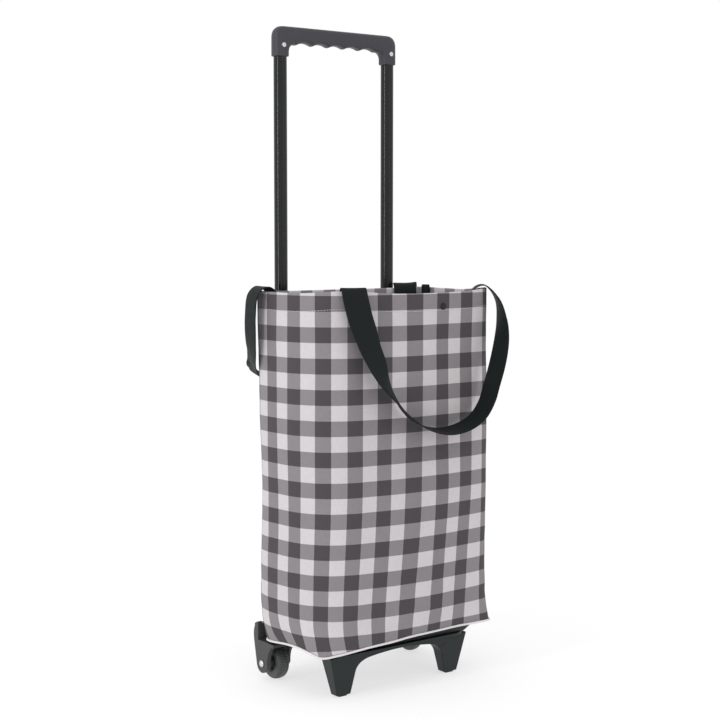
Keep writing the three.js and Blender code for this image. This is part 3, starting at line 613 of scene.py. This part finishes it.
def bag_floor():
    """Underside of the bag: from the seam in under the board, flat on the tray."""
    centre = np.array([0.0, (BAG_FRONT + BAG_REAR) / 2])
    verts, uvs = [], []
    # share of the seam's plan, and share of its height above the tray
    rings = [(1.0, 1.0), (0.95, 1.0), (0.9, 0.93), (0.85, 0.72), (0.81, 0.3)]
    rings += [(share, 0.0) for share in (0.78, 0.6, 0.3, 0.02)]
    rest = BAG_BOTTOM + 0.3 * MM
    for share, lift in rings:
        for c in range(COLUMNS):
            x, y = centre + (seam_loop[c][:2] - centre) * share
            z = rest + (seam_loop[c][2] - rest) * lift
            wave = 0.6 * MM * noise.noise(Vector((x * 40, y * 40, 2.0))) * (1 if lift > 0 else 0)
            verts.append((x, y, z + wave))
            uvs.append((x, y))
    faces = grid_faces(len(rings), COLUMNS, closed_columns=True)
    last = (len(rings) - 1) * COLUMNS
    faces.append(tuple(range(last, last + COLUMNS)))
    floor = piece("bag_floor", verts, faces, "lining_fabric", "frame", uvs=uvs, replaces=["bag_bottom_panel"])
    fix_normals(floor)
    modifier(floor, "SOLIDIFY", thickness=CLOTH, offset=0.0)


def seam_cord():
    """Piping sewn into the bottom seam: a cloth-covered cord with a slightly uneven run."""
    radius, around = 1.5 * MM, 10
    stand_off, lowered = 0.6 * MM, 0.8 * MM
    normal = loop_normals(seam_loop[:, :2])
    verts = []
    for c in range(COLUMNS):
        x, y, z = seam_loop[c]
        wobble = 0.35 * MM * noise.noise(Vector((c * 0.4, 1.0, 0.0)))
        for k in range(around):
            angle = 2 * math.pi * k / around
            out = radius * math.cos(angle) + stand_off + wobble
            up = radius * math.sin(angle) - lowered
            verts.append((x + normal[c][0] * out, y + normal[c][1] * out, z + up))
    faces = grid_faces(COLUMNS, around, closed_columns=True, closed_rows=True)
    cord = piece("seam_piping", verts, faces, "trim_fabric", "frame", replaces=["bottom_piping"])
    fix_normals(cord)


def bag_board():
    """Stiff board on the bag's floor, with rounded corners and a slightly bowed top."""
    corner = 34 * MM
    lo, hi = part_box("bottom_board")
    half_x = hi.x - 24 * MM
    y0, y1 = lo.y + 16 * MM, hi.y - 4 * MM
    outline = []
    for cx, cy, start in ((half_x - corner, y1 - corner, 0), (-half_x + corner, y1 - corner, 90),
                          (-half_x + corner, y0 + corner, 180), (half_x - corner, y0 + corner, 270)):
        for k in range(9):
            angle = math.radians(start + 90 * k / 8)
            outline.append((cx + corner * math.cos(angle), cy + corner * math.sin(angle)))
    centre = np.array([0, (y0 + y1) / 2])
    rings = [(0.97, lo.z), (1.0, lo.z + 0.8 * MM), (1.0, hi.z - 0.8 * MM), (0.992, hi.z),
             (0.7, hi.z + 0.4 * MM), (0.3, hi.z + 0.7 * MM), (0.02, hi.z + 0.8 * MM)]
    verts = []
    for share, z in rings:
        for p in outline:
            x, y = centre + (np.array(p) - centre) * share
            verts.append((x, y, z))
    faces = closed_faces(len(rings), len(outline))
    made = piece("floor_board", verts, faces, "insert_board", "frame", replaces=["bottom_board"])
    fix_normals(made)


def hem_stitching():
    """The row of stitches that holds the folded hem, seen on the outside of the rim."""
    z = rim_loop[:, 2] - HEM_DROP + 1.5 * MM
    plan = wall_plan(z)
    normal = loop_normals(plan)
    push = sags(plan, z)
    points = np.column_stack([plan + normal * (push[:, None] + 0.4 * MM), z])
    out = np.column_stack([normal, np.zeros(COLUMNS)])
    points, out = np.vstack([points, points[:1]]), np.vstack([out, out[:1]])
    stitches("hem_stitches", points, out, "trim_fabric", "frame")


bag_shell()
bag_floor()
seam_cord()
bag_board()
hem_stitching()

# ---------- rear pocket ----------

pocket_lo, pocket_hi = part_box("rear_pocket")
POCKET_SEAM_X = 117 * MM
POCKET_R = 13.6 * MM
POCKET_FLANGE = 11 * MM


def pocket_plan():
    """Half of the pocket's plan, from its sagging middle to the right: round the tube, then flat."""
    wrap_y = TUBE_Y + POCKET_R
    points = [(0, wrap_y - 3.2 * MM), (TUBE_X * 0.35, wrap_y - 2.7 * MM), (TUBE_X * 0.7, wrap_y - 1.2 * MM)]
    for angle in (100, 75, 50, 25, 5):
        a = math.radians(angle)
        points.append((TUBE_X + POCKET_R * math.cos(a), TUBE_Y + POCKET_R * math.sin(a)))
    points.append((POCKET_SEAM_X - 5 * MM, BAG_REAR + 5 * MM))
    points.append((POCKET_SEAM_X, BAG_REAR + 1.6 * MM))
    points.append((POCKET_SEAM_X + POCKET_FLANGE, BAG_REAR - 3.2 * MM))
    return points


def rear_pocket():
    right = np.array(pocket_plan())
    left = right[::-1] * [-1, 1]
    curve = catmull(np.vstack([left[:-1], right]), 7, False)
    s = arc_lengths(curve)
    s -= s[len(s) // 2]
    normal = np.gradient(curve, axis=0)
    normal = np.stack([-normal[:, 1], normal[:, 0]], 1)
    normal /= np.linalg.norm(normal, axis=1)[:, None]
    z0, z1 = pocket_lo.z, pocket_hi.z
    heights = [z0 + (z1 - z0) * t for t in np.linspace(0, 1, 80)]
    verts, uvs = [], []
    hem, hem_out = 18 * MM, 0.7 * MM
    for z in heights:
        edge = min(z - z0, z1 - z)
        lift = hem_out * (1 - smooth((edge - hem) / (1.5 * MM)))
        for (x, y), (nx, ny), along in zip(curve, normal, s):
            middle = 1 - min(1.0, abs(x) / TUBE_X)
            broad = noise.noise(Vector((x * 22, z * 7, 4.0))) * middle
            folds = noise.noise(Vector((x * 70, z * 30, 8.0)))
            wave = (1.2 * broad + 0.5 * folds) * MM * smooth(edge / (40 * MM))
            verts.append((x + nx * (lift + wave), y + ny * (lift + wave), z))
            uvs.append((along + 5 * MM, z))
    made = piece("rear_pocket_panel", verts, grid_faces(len(heights), len(curve)), "check_fabric", "frame",
                 uvs=uvs, replaces=["rear_pocket"])
    modifier(made, "SOLIDIFY", thickness=1.0 * MM, offset=-1.0)
    # two rows down each side seam, one along each hem
    out3 = np.column_stack([normal, np.zeros(len(curve))])
    for label, z in (("top", z1 - hem + 2 * MM), ("bottom", z0 + hem - 2 * MM)):
        line = np.column_stack([curve + normal * (hem_out + 0.1 * MM), np.full(len(curve), z)])
        stitches(f"pocket_stitches_{label}", line, out3, "trim_fabric", "frame")
    for side, sign in SIDES:
        for row, back in ((1, 3 * MM), (2, 8 * MM)):
            i = int(np.argmin(np.abs(s * sign - (s[-1] - back))))
            heights = np.linspace(z0 + 3 * MM, z1 - 3 * MM, 60)
            line = [(curve[i][0], curve[i][1] + 0.2 * MM, z) for z in heights]
            out = [(normal[i][0], normal[i][1], 0)] * len(line)
            stitches(f"pocket_side_stitches_{side}_{row}", line, out, "trim_fabric", "frame")


rear_pocket()

# ---------- webbing ----------

STRAP_WIDTH = 35 * MM
STRAP_THICKNESS = 1.6 * MM

# Each stop is x, y, z in mm, the direction of the strap's width in plan in degrees, and its tilt.
FRONT_STOPS = [
    (-89.8, -64.6, 524, -25, 0), (-89.8, -64.6, 550, -25, 0), (-91, -67, 561, -25, 0),
    (-93, -71.3, 565, -25, 0), (-94.6, -75.8, 563, -25, 0), (-94.8, -79, 554, -24, 0),
    (-89.5, -83, 526, -20, 0), (-82.5, -86, 504, -12, 0), (-76.5, -89, 484, -2, 0),
    (-68.5, -93.5, 463, 7, 0), (-59.7, -98, 440, 27, 0), (-45.7, -101.5, 417.5, 48, 0),
    (-28, -102.5, 395.5, 68, 5), (3, -102.5, 374, 85, 10), (41, -102.5, 364, 90, 10),
    (78, -102.5, 368, 90, 8), (104, -103, 381, 90, 4), (119, -104, 401, 90, 0), (127, -105, 424, 90, 0),
    (135, -105.5, 447, 90, 0), (142.5, -104, 469, 88, 0), (150, -99.5, 491, 82, 0), (156, -92, 514, 72, 0),
    (158.5, -81, 541, 60, 0), (153.5, -72, 557, 54, 0), (146.5, -66.4, 564, 53, 0),
    (139.5, -61.2, 563.5, 53, 0), (133.5, -56.6, 558, 53, 0), (131.5, -55.2, 549, 53, 0),
    (131.5, -55.2, 524, 53, 0),
]
REAR_STOPS = [
    (-141.5, 56, 524, 84, 0), (-141.5, 56, 549, 84, 0), (-142.6, 56.5, 558.5, 84, 0),
    (-148.5, 58, 563.5, 84, 0), (-157, 61, 563, 83, 0), (-165, 65, 553, 82, 0), (-167.5, 68, 524, 82, 0),
    (-167, 69, 500, 82, 0), (-163.5, 73, 478, 77, 0), (-156, 83, 461, 68, 0), (-142, 99, 448, 64, 0),
    (-122, 118, 439, 74, 0), (-106, 130.5, 432, 86, 0), (-84, 133, 420, 90, 2), (-60, 132.5, 405, 90, 5),
    (-42, 132.5, 394, 90, 8), (-8, 132.5, 377, 90, 10), (30, 132.5, 370, 90, 8), (70, 132.5, 376, 90, 4),
    (100, 132, 393, 92, 0), (119, 125, 420, 102, 0), (128, 115, 450, 116, 0), (132, 106, 480, 130, 0),
    (132, 99.5, 510, 142, 0), (129, 94, 538, 150, 0), (125, 89.5, 554, 156, 0), (120.5, 85, 561, 159, 0),
    (115, 79.5, 563, 161, 0), (110.8, 73.4, 560.5, 161.6, 0), (109.2, 70.4, 553, 161.6, 0),
    (109.2, 70.4, 524, 161.6, 0),
]


def ribbon(stops):
    """Centre line, width direction, thickness direction and length along a strap."""
    curve = catmull(np.array(stops, float), 10, False)
    centre = curve[:, :3] * MM
    centre[:, 1] += ORIGIN_SHIFT
    turn, tilt = np.radians(curve[:, 3]), np.radians(curve[:, 4])
    tangent = np.gradient(centre, axis=0)
    tangent /= np.linalg.norm(tangent, axis=1)[:, None]
    wide = np.stack([np.cos(turn) * np.cos(tilt), np.sin(turn) * np.cos(tilt), np.sin(tilt)], 1)
    wide -= tangent * (wide * tangent).sum(1)[:, None]
    wide /= np.linalg.norm(wide, axis=1)[:, None]
    return centre, wide, np.cross(wide, tangent), arc_lengths(centre)


def strap(name, stops, node):
    centre, wide, thick, along = ribbon(stops)
    half, t = STRAP_WIDTH / 2, STRAP_THICKNESS / 2
    # Section: a flat band whose selvedges are a little thinner and rounded.
    section = [(-half, 0.0), (-half + 0.3 * MM, 0.75 * t), (-half + 1.2 * MM, t)]
    section += [(x * half, t) for x in np.linspace(-0.85, 0.85, 9)]
    section += [(half - 1.2 * MM, t), (half - 0.3 * MM, 0.75 * t), (half, 0.0)]
    section += [(x, -y) for x, y in reversed(section[1:-1])]
    verts, uvs = [], []
    for i, (p, w, n, s) in enumerate(zip(centre, wide, thick, along)):
        cup = 0.9 * MM * math.sin(s * 21.0) * math.sin(math.pi * i / len(centre))
        for x, y in section:
            bend = cup * (1 - (x / half) ** 2)
            verts.append(p + w * x + n * (y + bend))
            uvs.append((x, s))
    faces = closed_faces(len(centre), len(section))
    made = piece(name, verts, faces, "webbing", "frame", uvs=uvs, replaces=[node])
    fix_normals(made)
    # each end is sewn with two rows across and two along
    near, far = 2 * MM, 22 * MM
    for end, lo, hi in (("start", near, far), ("end", along[-1] - far, along[-1] - near)):
        pick = [i for i in range(len(along)) if lo <= along[i] <= hi]
        rows = []
        for share in (-0.8, 0.8):
            rows.append(([centre[i] + wide[i] * half * share for i in pick], [thick[i] for i in pick]))
        for i in (pick[0], pick[-1]):
            spread = np.linspace(-0.8, 0.8, 12)
            rows.append(([centre[i] + wide[i] * half * u for u in spread], [thick[i]] * len(spread)))
        for face, sign in (("out", 1), ("in", -1)):
            for k, (line, out) in enumerate(rows):
                out = np.array(out) * sign
                raised = np.array(line) + out * (t + 0.05 * MM)
                stitches(f"{name}_stitches_{end}_{face}_{k}", raised, out, "webbing", "frame")


strap("front_strap", FRONT_STOPS, "strap_front")
strap("rear_strap", REAR_STOPS, "strap_rear")


def side_loop():
    """A folded tab of narrow webbing inside the rim, sewn to the hem."""
    lo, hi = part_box("side_loop")
    centre = (lo + hi) / 2
    bearing = math.radians(26)
    out = Vector((math.cos(bearing), math.sin(bearing), 0))
    wide = Vector((-out.y, out.x, 0))
    half, t = 6 * MM, 0.7 * MM
    top, bottom = hi.z - 3 * MM, lo.z - 3 * MM
    gap = 1.4 * MM
    leg = [(gap, bottom), (gap, bottom + 8 * MM), (gap * 1.3, top - 6 * MM), (gap * 1.2, top - 2 * MM)]
    path = [(-a, b) for a, b in leg] + [(0, top)] + leg[::-1]
    line = catmull(np.array([(a, 0, b) for a, b in path]), 6, False)
    tangent = np.gradient(line, axis=0)
    tangent /= np.linalg.norm(tangent, axis=1)[:, None]
    along = arc_lengths(line)
    section = [(-half, 0), (-half + 0.5 * MM, t), (half - 0.5 * MM, t), (half, 0), (half - 0.5 * MM, -t),
               (-half + 0.5 * MM, -t)]
    verts, uvs = [], []
    for p, g, s in zip(line, tangent, along):
        base = Vector((centre.x, centre.y, 0)) + out * p[0] + Vector((0, 0, p[2]))
        normal = out * g[2] - Vector((0, 0, 1)) * g[0]
        for x, y in section:
            verts.append(base + wide * x + normal * y)
            uvs.append((x, s))
    faces = closed_faces(len(line), len(section))
    made = piece("hem_loop", verts, faces, "webbing", "frame", uvs=uvs, replaces=["side_loop"])
    fix_normals(made)


side_loop()

# ---------- handle ----------

GRIP_HALF = 11.5 * MM
grip_lo, grip_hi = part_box("handle_grip")
GRIP_TOP = grip_hi.z
GRIP_BOTTOM = grip_lo.z
GRIP_DEPTH = grip_hi.y - grip_lo.y
BAR_BOTTOM = GRIP_TOP - 25 * MM
FINGERS, FINGER_PITCH, FINGER_DEPTH = 5, 28 * MM, 3.6 * MM
GRIP_CORNER = 13 * MM


def bar_underside(x):
    """Height of the bar's underside, with a hollow for each finger."""
    run = FINGERS * FINGER_PITCH / 2
    if abs(x) >= run:
        return BAR_BOTTOM - 0.5 * MM
    phase = (x + run) / FINGER_PITCH
    return BAR_BOTTOM - 0.5 * MM + FINGER_DEPTH * abs(math.sin(math.pi * phase)) ** 0.8


def grip_stations():
    """Pairs of outer and inner points in X and Z, from the left socket over the bar to the right one."""
    end, inner = TUBE_X + GRIP_HALF, TUBE_X - GRIP_HALF
    fillet = 11 * MM
    pairs = []
    leg_top = BAR_BOTTOM - fillet
    for t in np.linspace(0, 1, 7):
        z = GRIP_BOTTOM + (leg_top - GRIP_BOTTOM) * t
        pairs.append(((-end, z), (-inner, z)))
    outer_path = [(-end, leg_top), (-end, GRIP_TOP - GRIP_CORNER)]
    for k in range(1, 9):
        a = math.pi - math.pi / 2 * k / 8
        x = -end + GRIP_CORNER + GRIP_CORNER * math.cos(a)
        outer_path.append((x, GRIP_TOP - GRIP_CORNER + GRIP_CORNER * math.sin(a)))
    outer_path.append((-inner + fillet, GRIP_TOP))
    outer = np.array(outer_path)
    length = arc_lengths(outer)
    for t in np.linspace(0, 1, 15)[1:]:
        s = length[-1] * t
        a = math.pi - math.pi / 2 * t
        out_point = (np.interp(s, length, outer[:, 0]), np.interp(s, length, outer[:, 1]))
        in_point = (-inner + fillet + fillet * math.cos(a), BAR_BOTTOM - fillet + fillet * math.sin(a))
        pairs.append((out_point, in_point))
    start = -inner + fillet
    for x in np.linspace(start, 0, 66)[1:]:
        pairs.append(((x, GRIP_TOP), (x, bar_underside(x))))
    mirrored = [((-o[0], o[1]), (-i[0], i[1])) for o, i in reversed(pairs[:-1])]
    return pairs + mirrored


def grip():
    around = 28
    power = 2 / 3.4
    verts = []
    stations = grip_stations()
    for i, (o, n) in enumerate(stations):
        o, n = Vector((o[0], 0, o[1])), Vector((n[0], 0, n[1]))
        middle, half = (o + n) / 2, (o - n) / 2
        near_end = min(i, len(stations) - 1 - i)
        shrink = (0.955, 0.99, 1.0)[min(near_end, 2)]
        for k in range(around):
            a = 2 * math.pi * k / around
            c, s = math.cos(a), math.sin(a)
            along = math.copysign(abs(c) ** power, c)
            deep = math.copysign(abs(s) ** power, s)
            crown = 0.35 * MM if k in (0, around // 2) else 0.0
            point = middle + half * along * shrink + half.normalized() * math.copysign(crown, along)
            verts.append((point.x, TUBE_Y + deep * GRIP_DEPTH / 2 * shrink, point.z))
    faces = closed_faces(len(stations), around)
    made = piece("moulded_grip", verts, faces, "grip_plastic", "handle", replaces=["handle_grip"])
    fix_normals(made)
    modifier(made, "SUBSURF", levels=1, render_levels=1)


grip()


def screw(name, centre, axis, radius, height, body, node):
    """A pan-head screw with a cross recess."""
    z = Vector(axis).normalized()
    x = z.orthogonal().normalized()
    y = z.cross(x)
    rings, segments = 12, 64
    verts = []
    for i in range(rings + 1):
        share = i / rings
        r = radius * math.sin(share * math.pi / 2) if share < 1 else radius
        dome = height * (0.35 + 0.65 * math.cos(share * math.pi / 2) ** 0.7)
        for k in range(segments):
            a = 2 * math.pi * k / segments
            px, py = r * math.cos(a), r * math.sin(a)
            slot = min(abs(px), abs(py))
            inside = max(0.0, min(1.0, (0.62 * radius - r) / (0.12 * radius)))
            cross = max(0.0, 1 - slot / (0.17 * radius)) * inside
            depth = dome - 0.75 * height * min(1.0, cross * 2)
            verts.append(Vector(centre) + x * px + y * py + z * depth)
    for k in range(segments):
        a = 2 * math.pi * k / segments
        verts.append(Vector(centre) + (x * math.cos(a) + y * math.sin(a)) * radius * 0.98)
    faces = grid_faces(rings + 2, segments, closed_columns=True)
    faces.append(tuple(range(segments)))
    faces.append(tuple(range((rings + 1) * segments, (rings + 2) * segments)))
    made = piece(name, verts, faces, "steel", body, replaces=[node])
    fix_normals(made)


def handle_side(side, sign):
    """The grip screw, the sliding tube and the collar of one side."""
    x = sign * TUBE_X
    lo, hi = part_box(f"grip_screw_{side}")
    seat = (x, grip_lo.y, (lo.z + hi.z) / 2)
    node = f"grip_screw_{side}"
    screw(f"cross_screw_{side}", seat, (0, -1, 0), 3.3 * MM, 1.5 * MM, "handle", node)

    lo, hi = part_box(f"inner_tube_{side}")
    bore, lip = TUBE_R - 1.2 * MM, TUBE_R - 0.3 * MM
    chamfer, plain = 0.4 * MM, 60 * MM
    profile = [(bore, lo.z), (lip, lo.z), (TUBE_R, lo.z + chamfer), (TUBE_R, lo.z + plain)]
    profile += [(TUBE_R, hi.z - plain), (TUBE_R, hi.z - chamfer), (lip, hi.z), (bore, hi.z), (bore, lo.z)]
    turned(f"sliding_tube_{side}", profile, (x, TUBE_Y, 0), (0, 0, 1), "black_tube", "handle", 72,
           replaces=[f"inner_tube_{side}"])

    lo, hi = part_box(f"tube_collar_{side}")
    skirt = (hi.x - lo.x) / 2 / MM
    groove = skirt - 0.5
    profile = [(11.3, 0), (skirt - 0.4, 0), (skirt, 1.0), (skirt, 4.0), (groove, 4.5), (groove, 6.0),
               (skirt, 6.5), (skirt, 21.5), (skirt - 1.0, 24.2), (skirt - 2.0, 25.0), (9.9, 25.0),
               (9.8, 24.5), (9.8, 16), (11.3, 15.5), (11.3, 0)]
    profile = [(r * MM, lo.z + h * MM) for r, h in profile]
    turned(f"moulded_collar_{side}", profile, (x, TUBE_Y, 0), (0, 0, 1), "grip_plastic", "frame", 72,
           replaces=[f"tube_collar_{side}"])


for side, sign in SIDES:
    handle_side(side, sign)

# ---------- wheels ----------

TYRE_MARKS = 40
HUB_RIBS = 6


def tyre(side):
    lo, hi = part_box(f"tyre_{side}")
    centre = (lo + hi) / 2
    radius, half = (hi.z - lo.z) / 2, (hi.x - lo.x) / 2
    bore = 13.4 * MM
    profile = [(bore, -half + 1.2 * MM), (bore + 0.8 * MM, -half + 0.3 * MM), (bore + 2.4 * MM, -half)]
    shoulder = 18.5 * MM
    steps = 22
    for i in range(steps + 1):
        a = -math.pi / 2 + math.pi * i / steps
        r = shoulder + (radius - shoulder) * math.cos(a) ** 0.75
        profile.append((r, half * math.sin(a)))
    profile += [(bore + 2.4 * MM, half), (bore + 0.8 * MM, half - 0.3 * MM), (bore, half - 1.2 * MM),
                (bore, -half + 1.2 * MM)]

    def marks(angle, r, h):
        share = abs(h) / half
        if r < shoulder + 1 * MM:
            return r, h
        shoulder_zone = smooth((share - 0.30) / 0.12) * smooth((0.93 - share) / 0.10)
        wave = math.sin(TYRE_MARKS * angle + (0.7 if h > 0 else -0.7) * share * 6)
        lug = 0.9 * MM * shoulder_zone * smooth((wave + 0.15) / 0.3)
        ring = 0.5 * MM * math.exp(-((share - 0.22) / 0.07) ** 2)
        return r - lug - ring, h

    turned(f"moulded_tyre_{side}", profile, centre, (1, 0, 0), "tyre", f"wheel_{side}", 240, shape=marks,
           replaces=[f"tyre_{side}"])


def hub(side):
    lo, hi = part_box(f"wheel_hub_{side}")
    centre = (lo + hi) / 2
    boss, web, half = (hi.x - lo.x) / 2 / MM, 2.6, 8.5
    outwards = [(4.2, boss), (6.2, boss), (6.6, boss - 0.5), (6.7, 5.0), (7.2, web + 0.4), (8.4, web),
                (10.2, web), (11.0, web + 0.5), (11.3, 7.6), (11.7, half), (12.7, half), (13.0, 8.2)]
    profile = [(r * MM, -h * MM) for r, h in outwards] + [(r * MM, h * MM) for r, h in reversed(outwards)]
    profile.append(profile[0])

    def ribs(angle, r, h):
        if 6.9 * MM < r < 11.1 * MM and abs(h) < half * MM:
            rib = smooth((math.cos(HUB_RIBS * angle) - 0.80) / 0.12)
            return r, math.copysign(abs(h) + ((half - 1.5) * MM - abs(h)) * rib, h)
        return r, h

    turned(f"moulded_hub_{side}", profile, centre, (1, 0, 0), "wheel_hub", f"wheel_{side}", 180, shape=ribs,
           replaces=[f"wheel_hub_{side}"])


def rivet(side):
    lo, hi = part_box(f"axle_rivet_{side}")
    centre = (lo + hi) / 2
    half = (hi.x - lo.x) / 2
    head, height, shank = 5.0 * MM, 2.4 * MM, 2.6 * MM
    profile = [(0.05 * MM, -half)]
    for k in range(1, 7):
        a = math.pi / 2 * k / 6
        profile.append((head * math.sin(a), -half + height * (1 - math.cos(a)) * 0.85))
    profile += [(head, -half + height), (shank, -half + height)]
    profile += [(r, -h) for r, h in reversed(profile)]
    turned(f"axle_pin_{side}", profile, centre, (1, 0, 0), "steel", "frame", 48,
           replaces=[f"axle_rivet_{side}"])


for side, _ in SIDES:
    tyre(side)
    hub(side)
    rivet(side)

# ---------- snap fastener ----------


def cloth_point(x, z, side):
    """The cloth's outer face at x and z, on the rear for side 1 and on the front for side -1."""
    heights = np.full(COLUMNS, z)
    plan = wall_plan(heights)
    points = plan + loop_normals(plan) * sags(plan, heights)[:, None]
    near = [c for c in range(COLUMNS) if points[c][1] * side > 0]
    best = min(near, key=lambda c: abs(points[c][0] - x))
    return x, points[best][1], z


def snap_caps():
    lo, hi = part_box("snap_cap_front")
    r = (hi.x - lo.x) / 2 / MM
    h = (hi.y - lo.y) / MM
    profile = [(0.05, h), (r * 0.45, h * 0.97), (r * 0.62, h * 0.86), (r * 0.7, h * 0.72),
               (r * 0.78, h * 0.80), (r * 0.9, h * 0.72), (r, h * 0.35), (r, 0), (0.05, 0)]
    profile = [(a * MM, b * MM) for a, b in profile]
    for place, side in (("front", -1), ("rear", 1)):
        lo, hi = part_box(f"snap_cap_{place}")
        centre = (lo + hi) / 2
        seat = cloth_point(centre.x, centre.z, side)
        turned(f"snap_button_{place}", profile, seat, (0, side, 0), "snap_black", "frame", 48,
               replaces=[f"snap_cap_{place}"])


snap_caps()

# ---------- CAD nodes that stay: softened edges and their own finish ----------

SLOT_OF = {row["node"]: row["material_slot"] for row in frame["record"]["subparts"]}
BEVELS = {
    "leg_frame": 1.4 * MM, "wheel_bracket_left": 1.1 * MM, "wheel_bracket_right": 1.1 * MM,
    "base_tray": 0.6 * MM, "foot_pad_left": 0.8 * MM, "foot_pad_right": 0.8 * MM, "tube_bridge": 0.8 * MM,
}
for name, node in frame["nodes"].items():
    if node.hide_render:
        continue
    node.data.materials.clear()
    node.data.materials.append(LOOKS[SLOT_OF[name]])
    if "custom_normal" in node.data.attributes:
        node.data.attributes.remove(node.data.attributes["custom_normal"])
    node.data.polygons.foreach_set("use_smooth", [True] * len(node.data.polygons))
    modifier(node, "WELD", merge_threshold=0.01 * MM)
    modifier(node, "BEVEL", width=BEVELS.get(name, 0.25 * MM), segments=3, limit_method="ANGLE",
             angle_limit=math.radians(32), harden_normals=True, use_clamp_overlap=True)

# ---------- stage, light and camera ----------


def studio():
    mesh = bpy.data.meshes.new("studio_floor")
    reach = 40.0
    corners = [(-reach, -reach, 0), (reach, -reach, 0), (reach, reach, 0), (-reach, reach, 0)]
    mesh.from_pydata(corners, [], [(0, 1, 2, 3)])
    floor = bpy.data.objects.new("studio_floor", mesh)
    bpy.context.scene.collection.objects.link(floor)
    paint = Look("pale_floor", Base_Color=(0.36, 0.36, 0.36), Roughness=0.8, Specular_IOR_Level=0.0,
                 Emission_Color=(1.0, 1.0, 1.0), Emission_Strength=0.64)
    mesh.materials.append(paint.material)
    world = bpy.data.worlds.new("studio_world")
    bpy.context.scene.world = world
    world.use_nodes = True
    sky = world.node_tree.nodes["Background"]
    sky.inputs["Color"].default_value = (1.0, 1.0, 1.0, 1.0)
    sky.inputs["Strength"].default_value = 1.0


def lamp(name, kind, place, towards, energy, **settings):
    data = bpy.data.lights.new(name, kind)
    data.energy = energy
    for key, value in settings.items():
        setattr(data, key, value)
    made = bpy.data.objects.new(name, data)
    made.location = place
    made.rotation_euler = (Vector(towards) - Vector(place)).to_track_quat("-Z", "Y").to_euler()
    made.visible_camera = False
    bpy.context.scene.collection.objects.link(made)


def camera():
    """A little above the rim, looking from the bag's front left and slightly down."""
    pitch, turn = -4.91, -36.7
    data = bpy.data.cameras.new("camera")
    data.sensor_width = 36.0
    data.lens = 75.3
    data.clip_start = 0.05
    made = bpy.data.objects.new("camera", data)
    made.location = (-1.2946, -1.7142, 0.6422)
    made.rotation_euler = (math.radians(90 + pitch), 0, math.radians(turn))
    bpy.context.scene.collection.objects.link(made)
    bpy.context.scene.camera = made


studio()
lamp("key_strip", "AREA", (-2.6, -0.25, 1.3), (0, 0, 0.45), 20.0, shape="RECTANGLE", size=0.16, size_y=2.2)
lamp("fill_strip", "AREA", (0.8, -2.8, 1.2), (0, 0, 0.5), 2.5, shape="RECTANGLE", size=0.08, size_y=2.0)
lamp("soft_sun", "SUN", (-1.0, -0.6, 4.0), (0, 0, 0), 0.12, angle=math.radians(50))
camera()
bpy.context.scene.view_settings.view_transform = "Standard"

# ---------- the end ----------------------

bpy.context.view_layer.update()
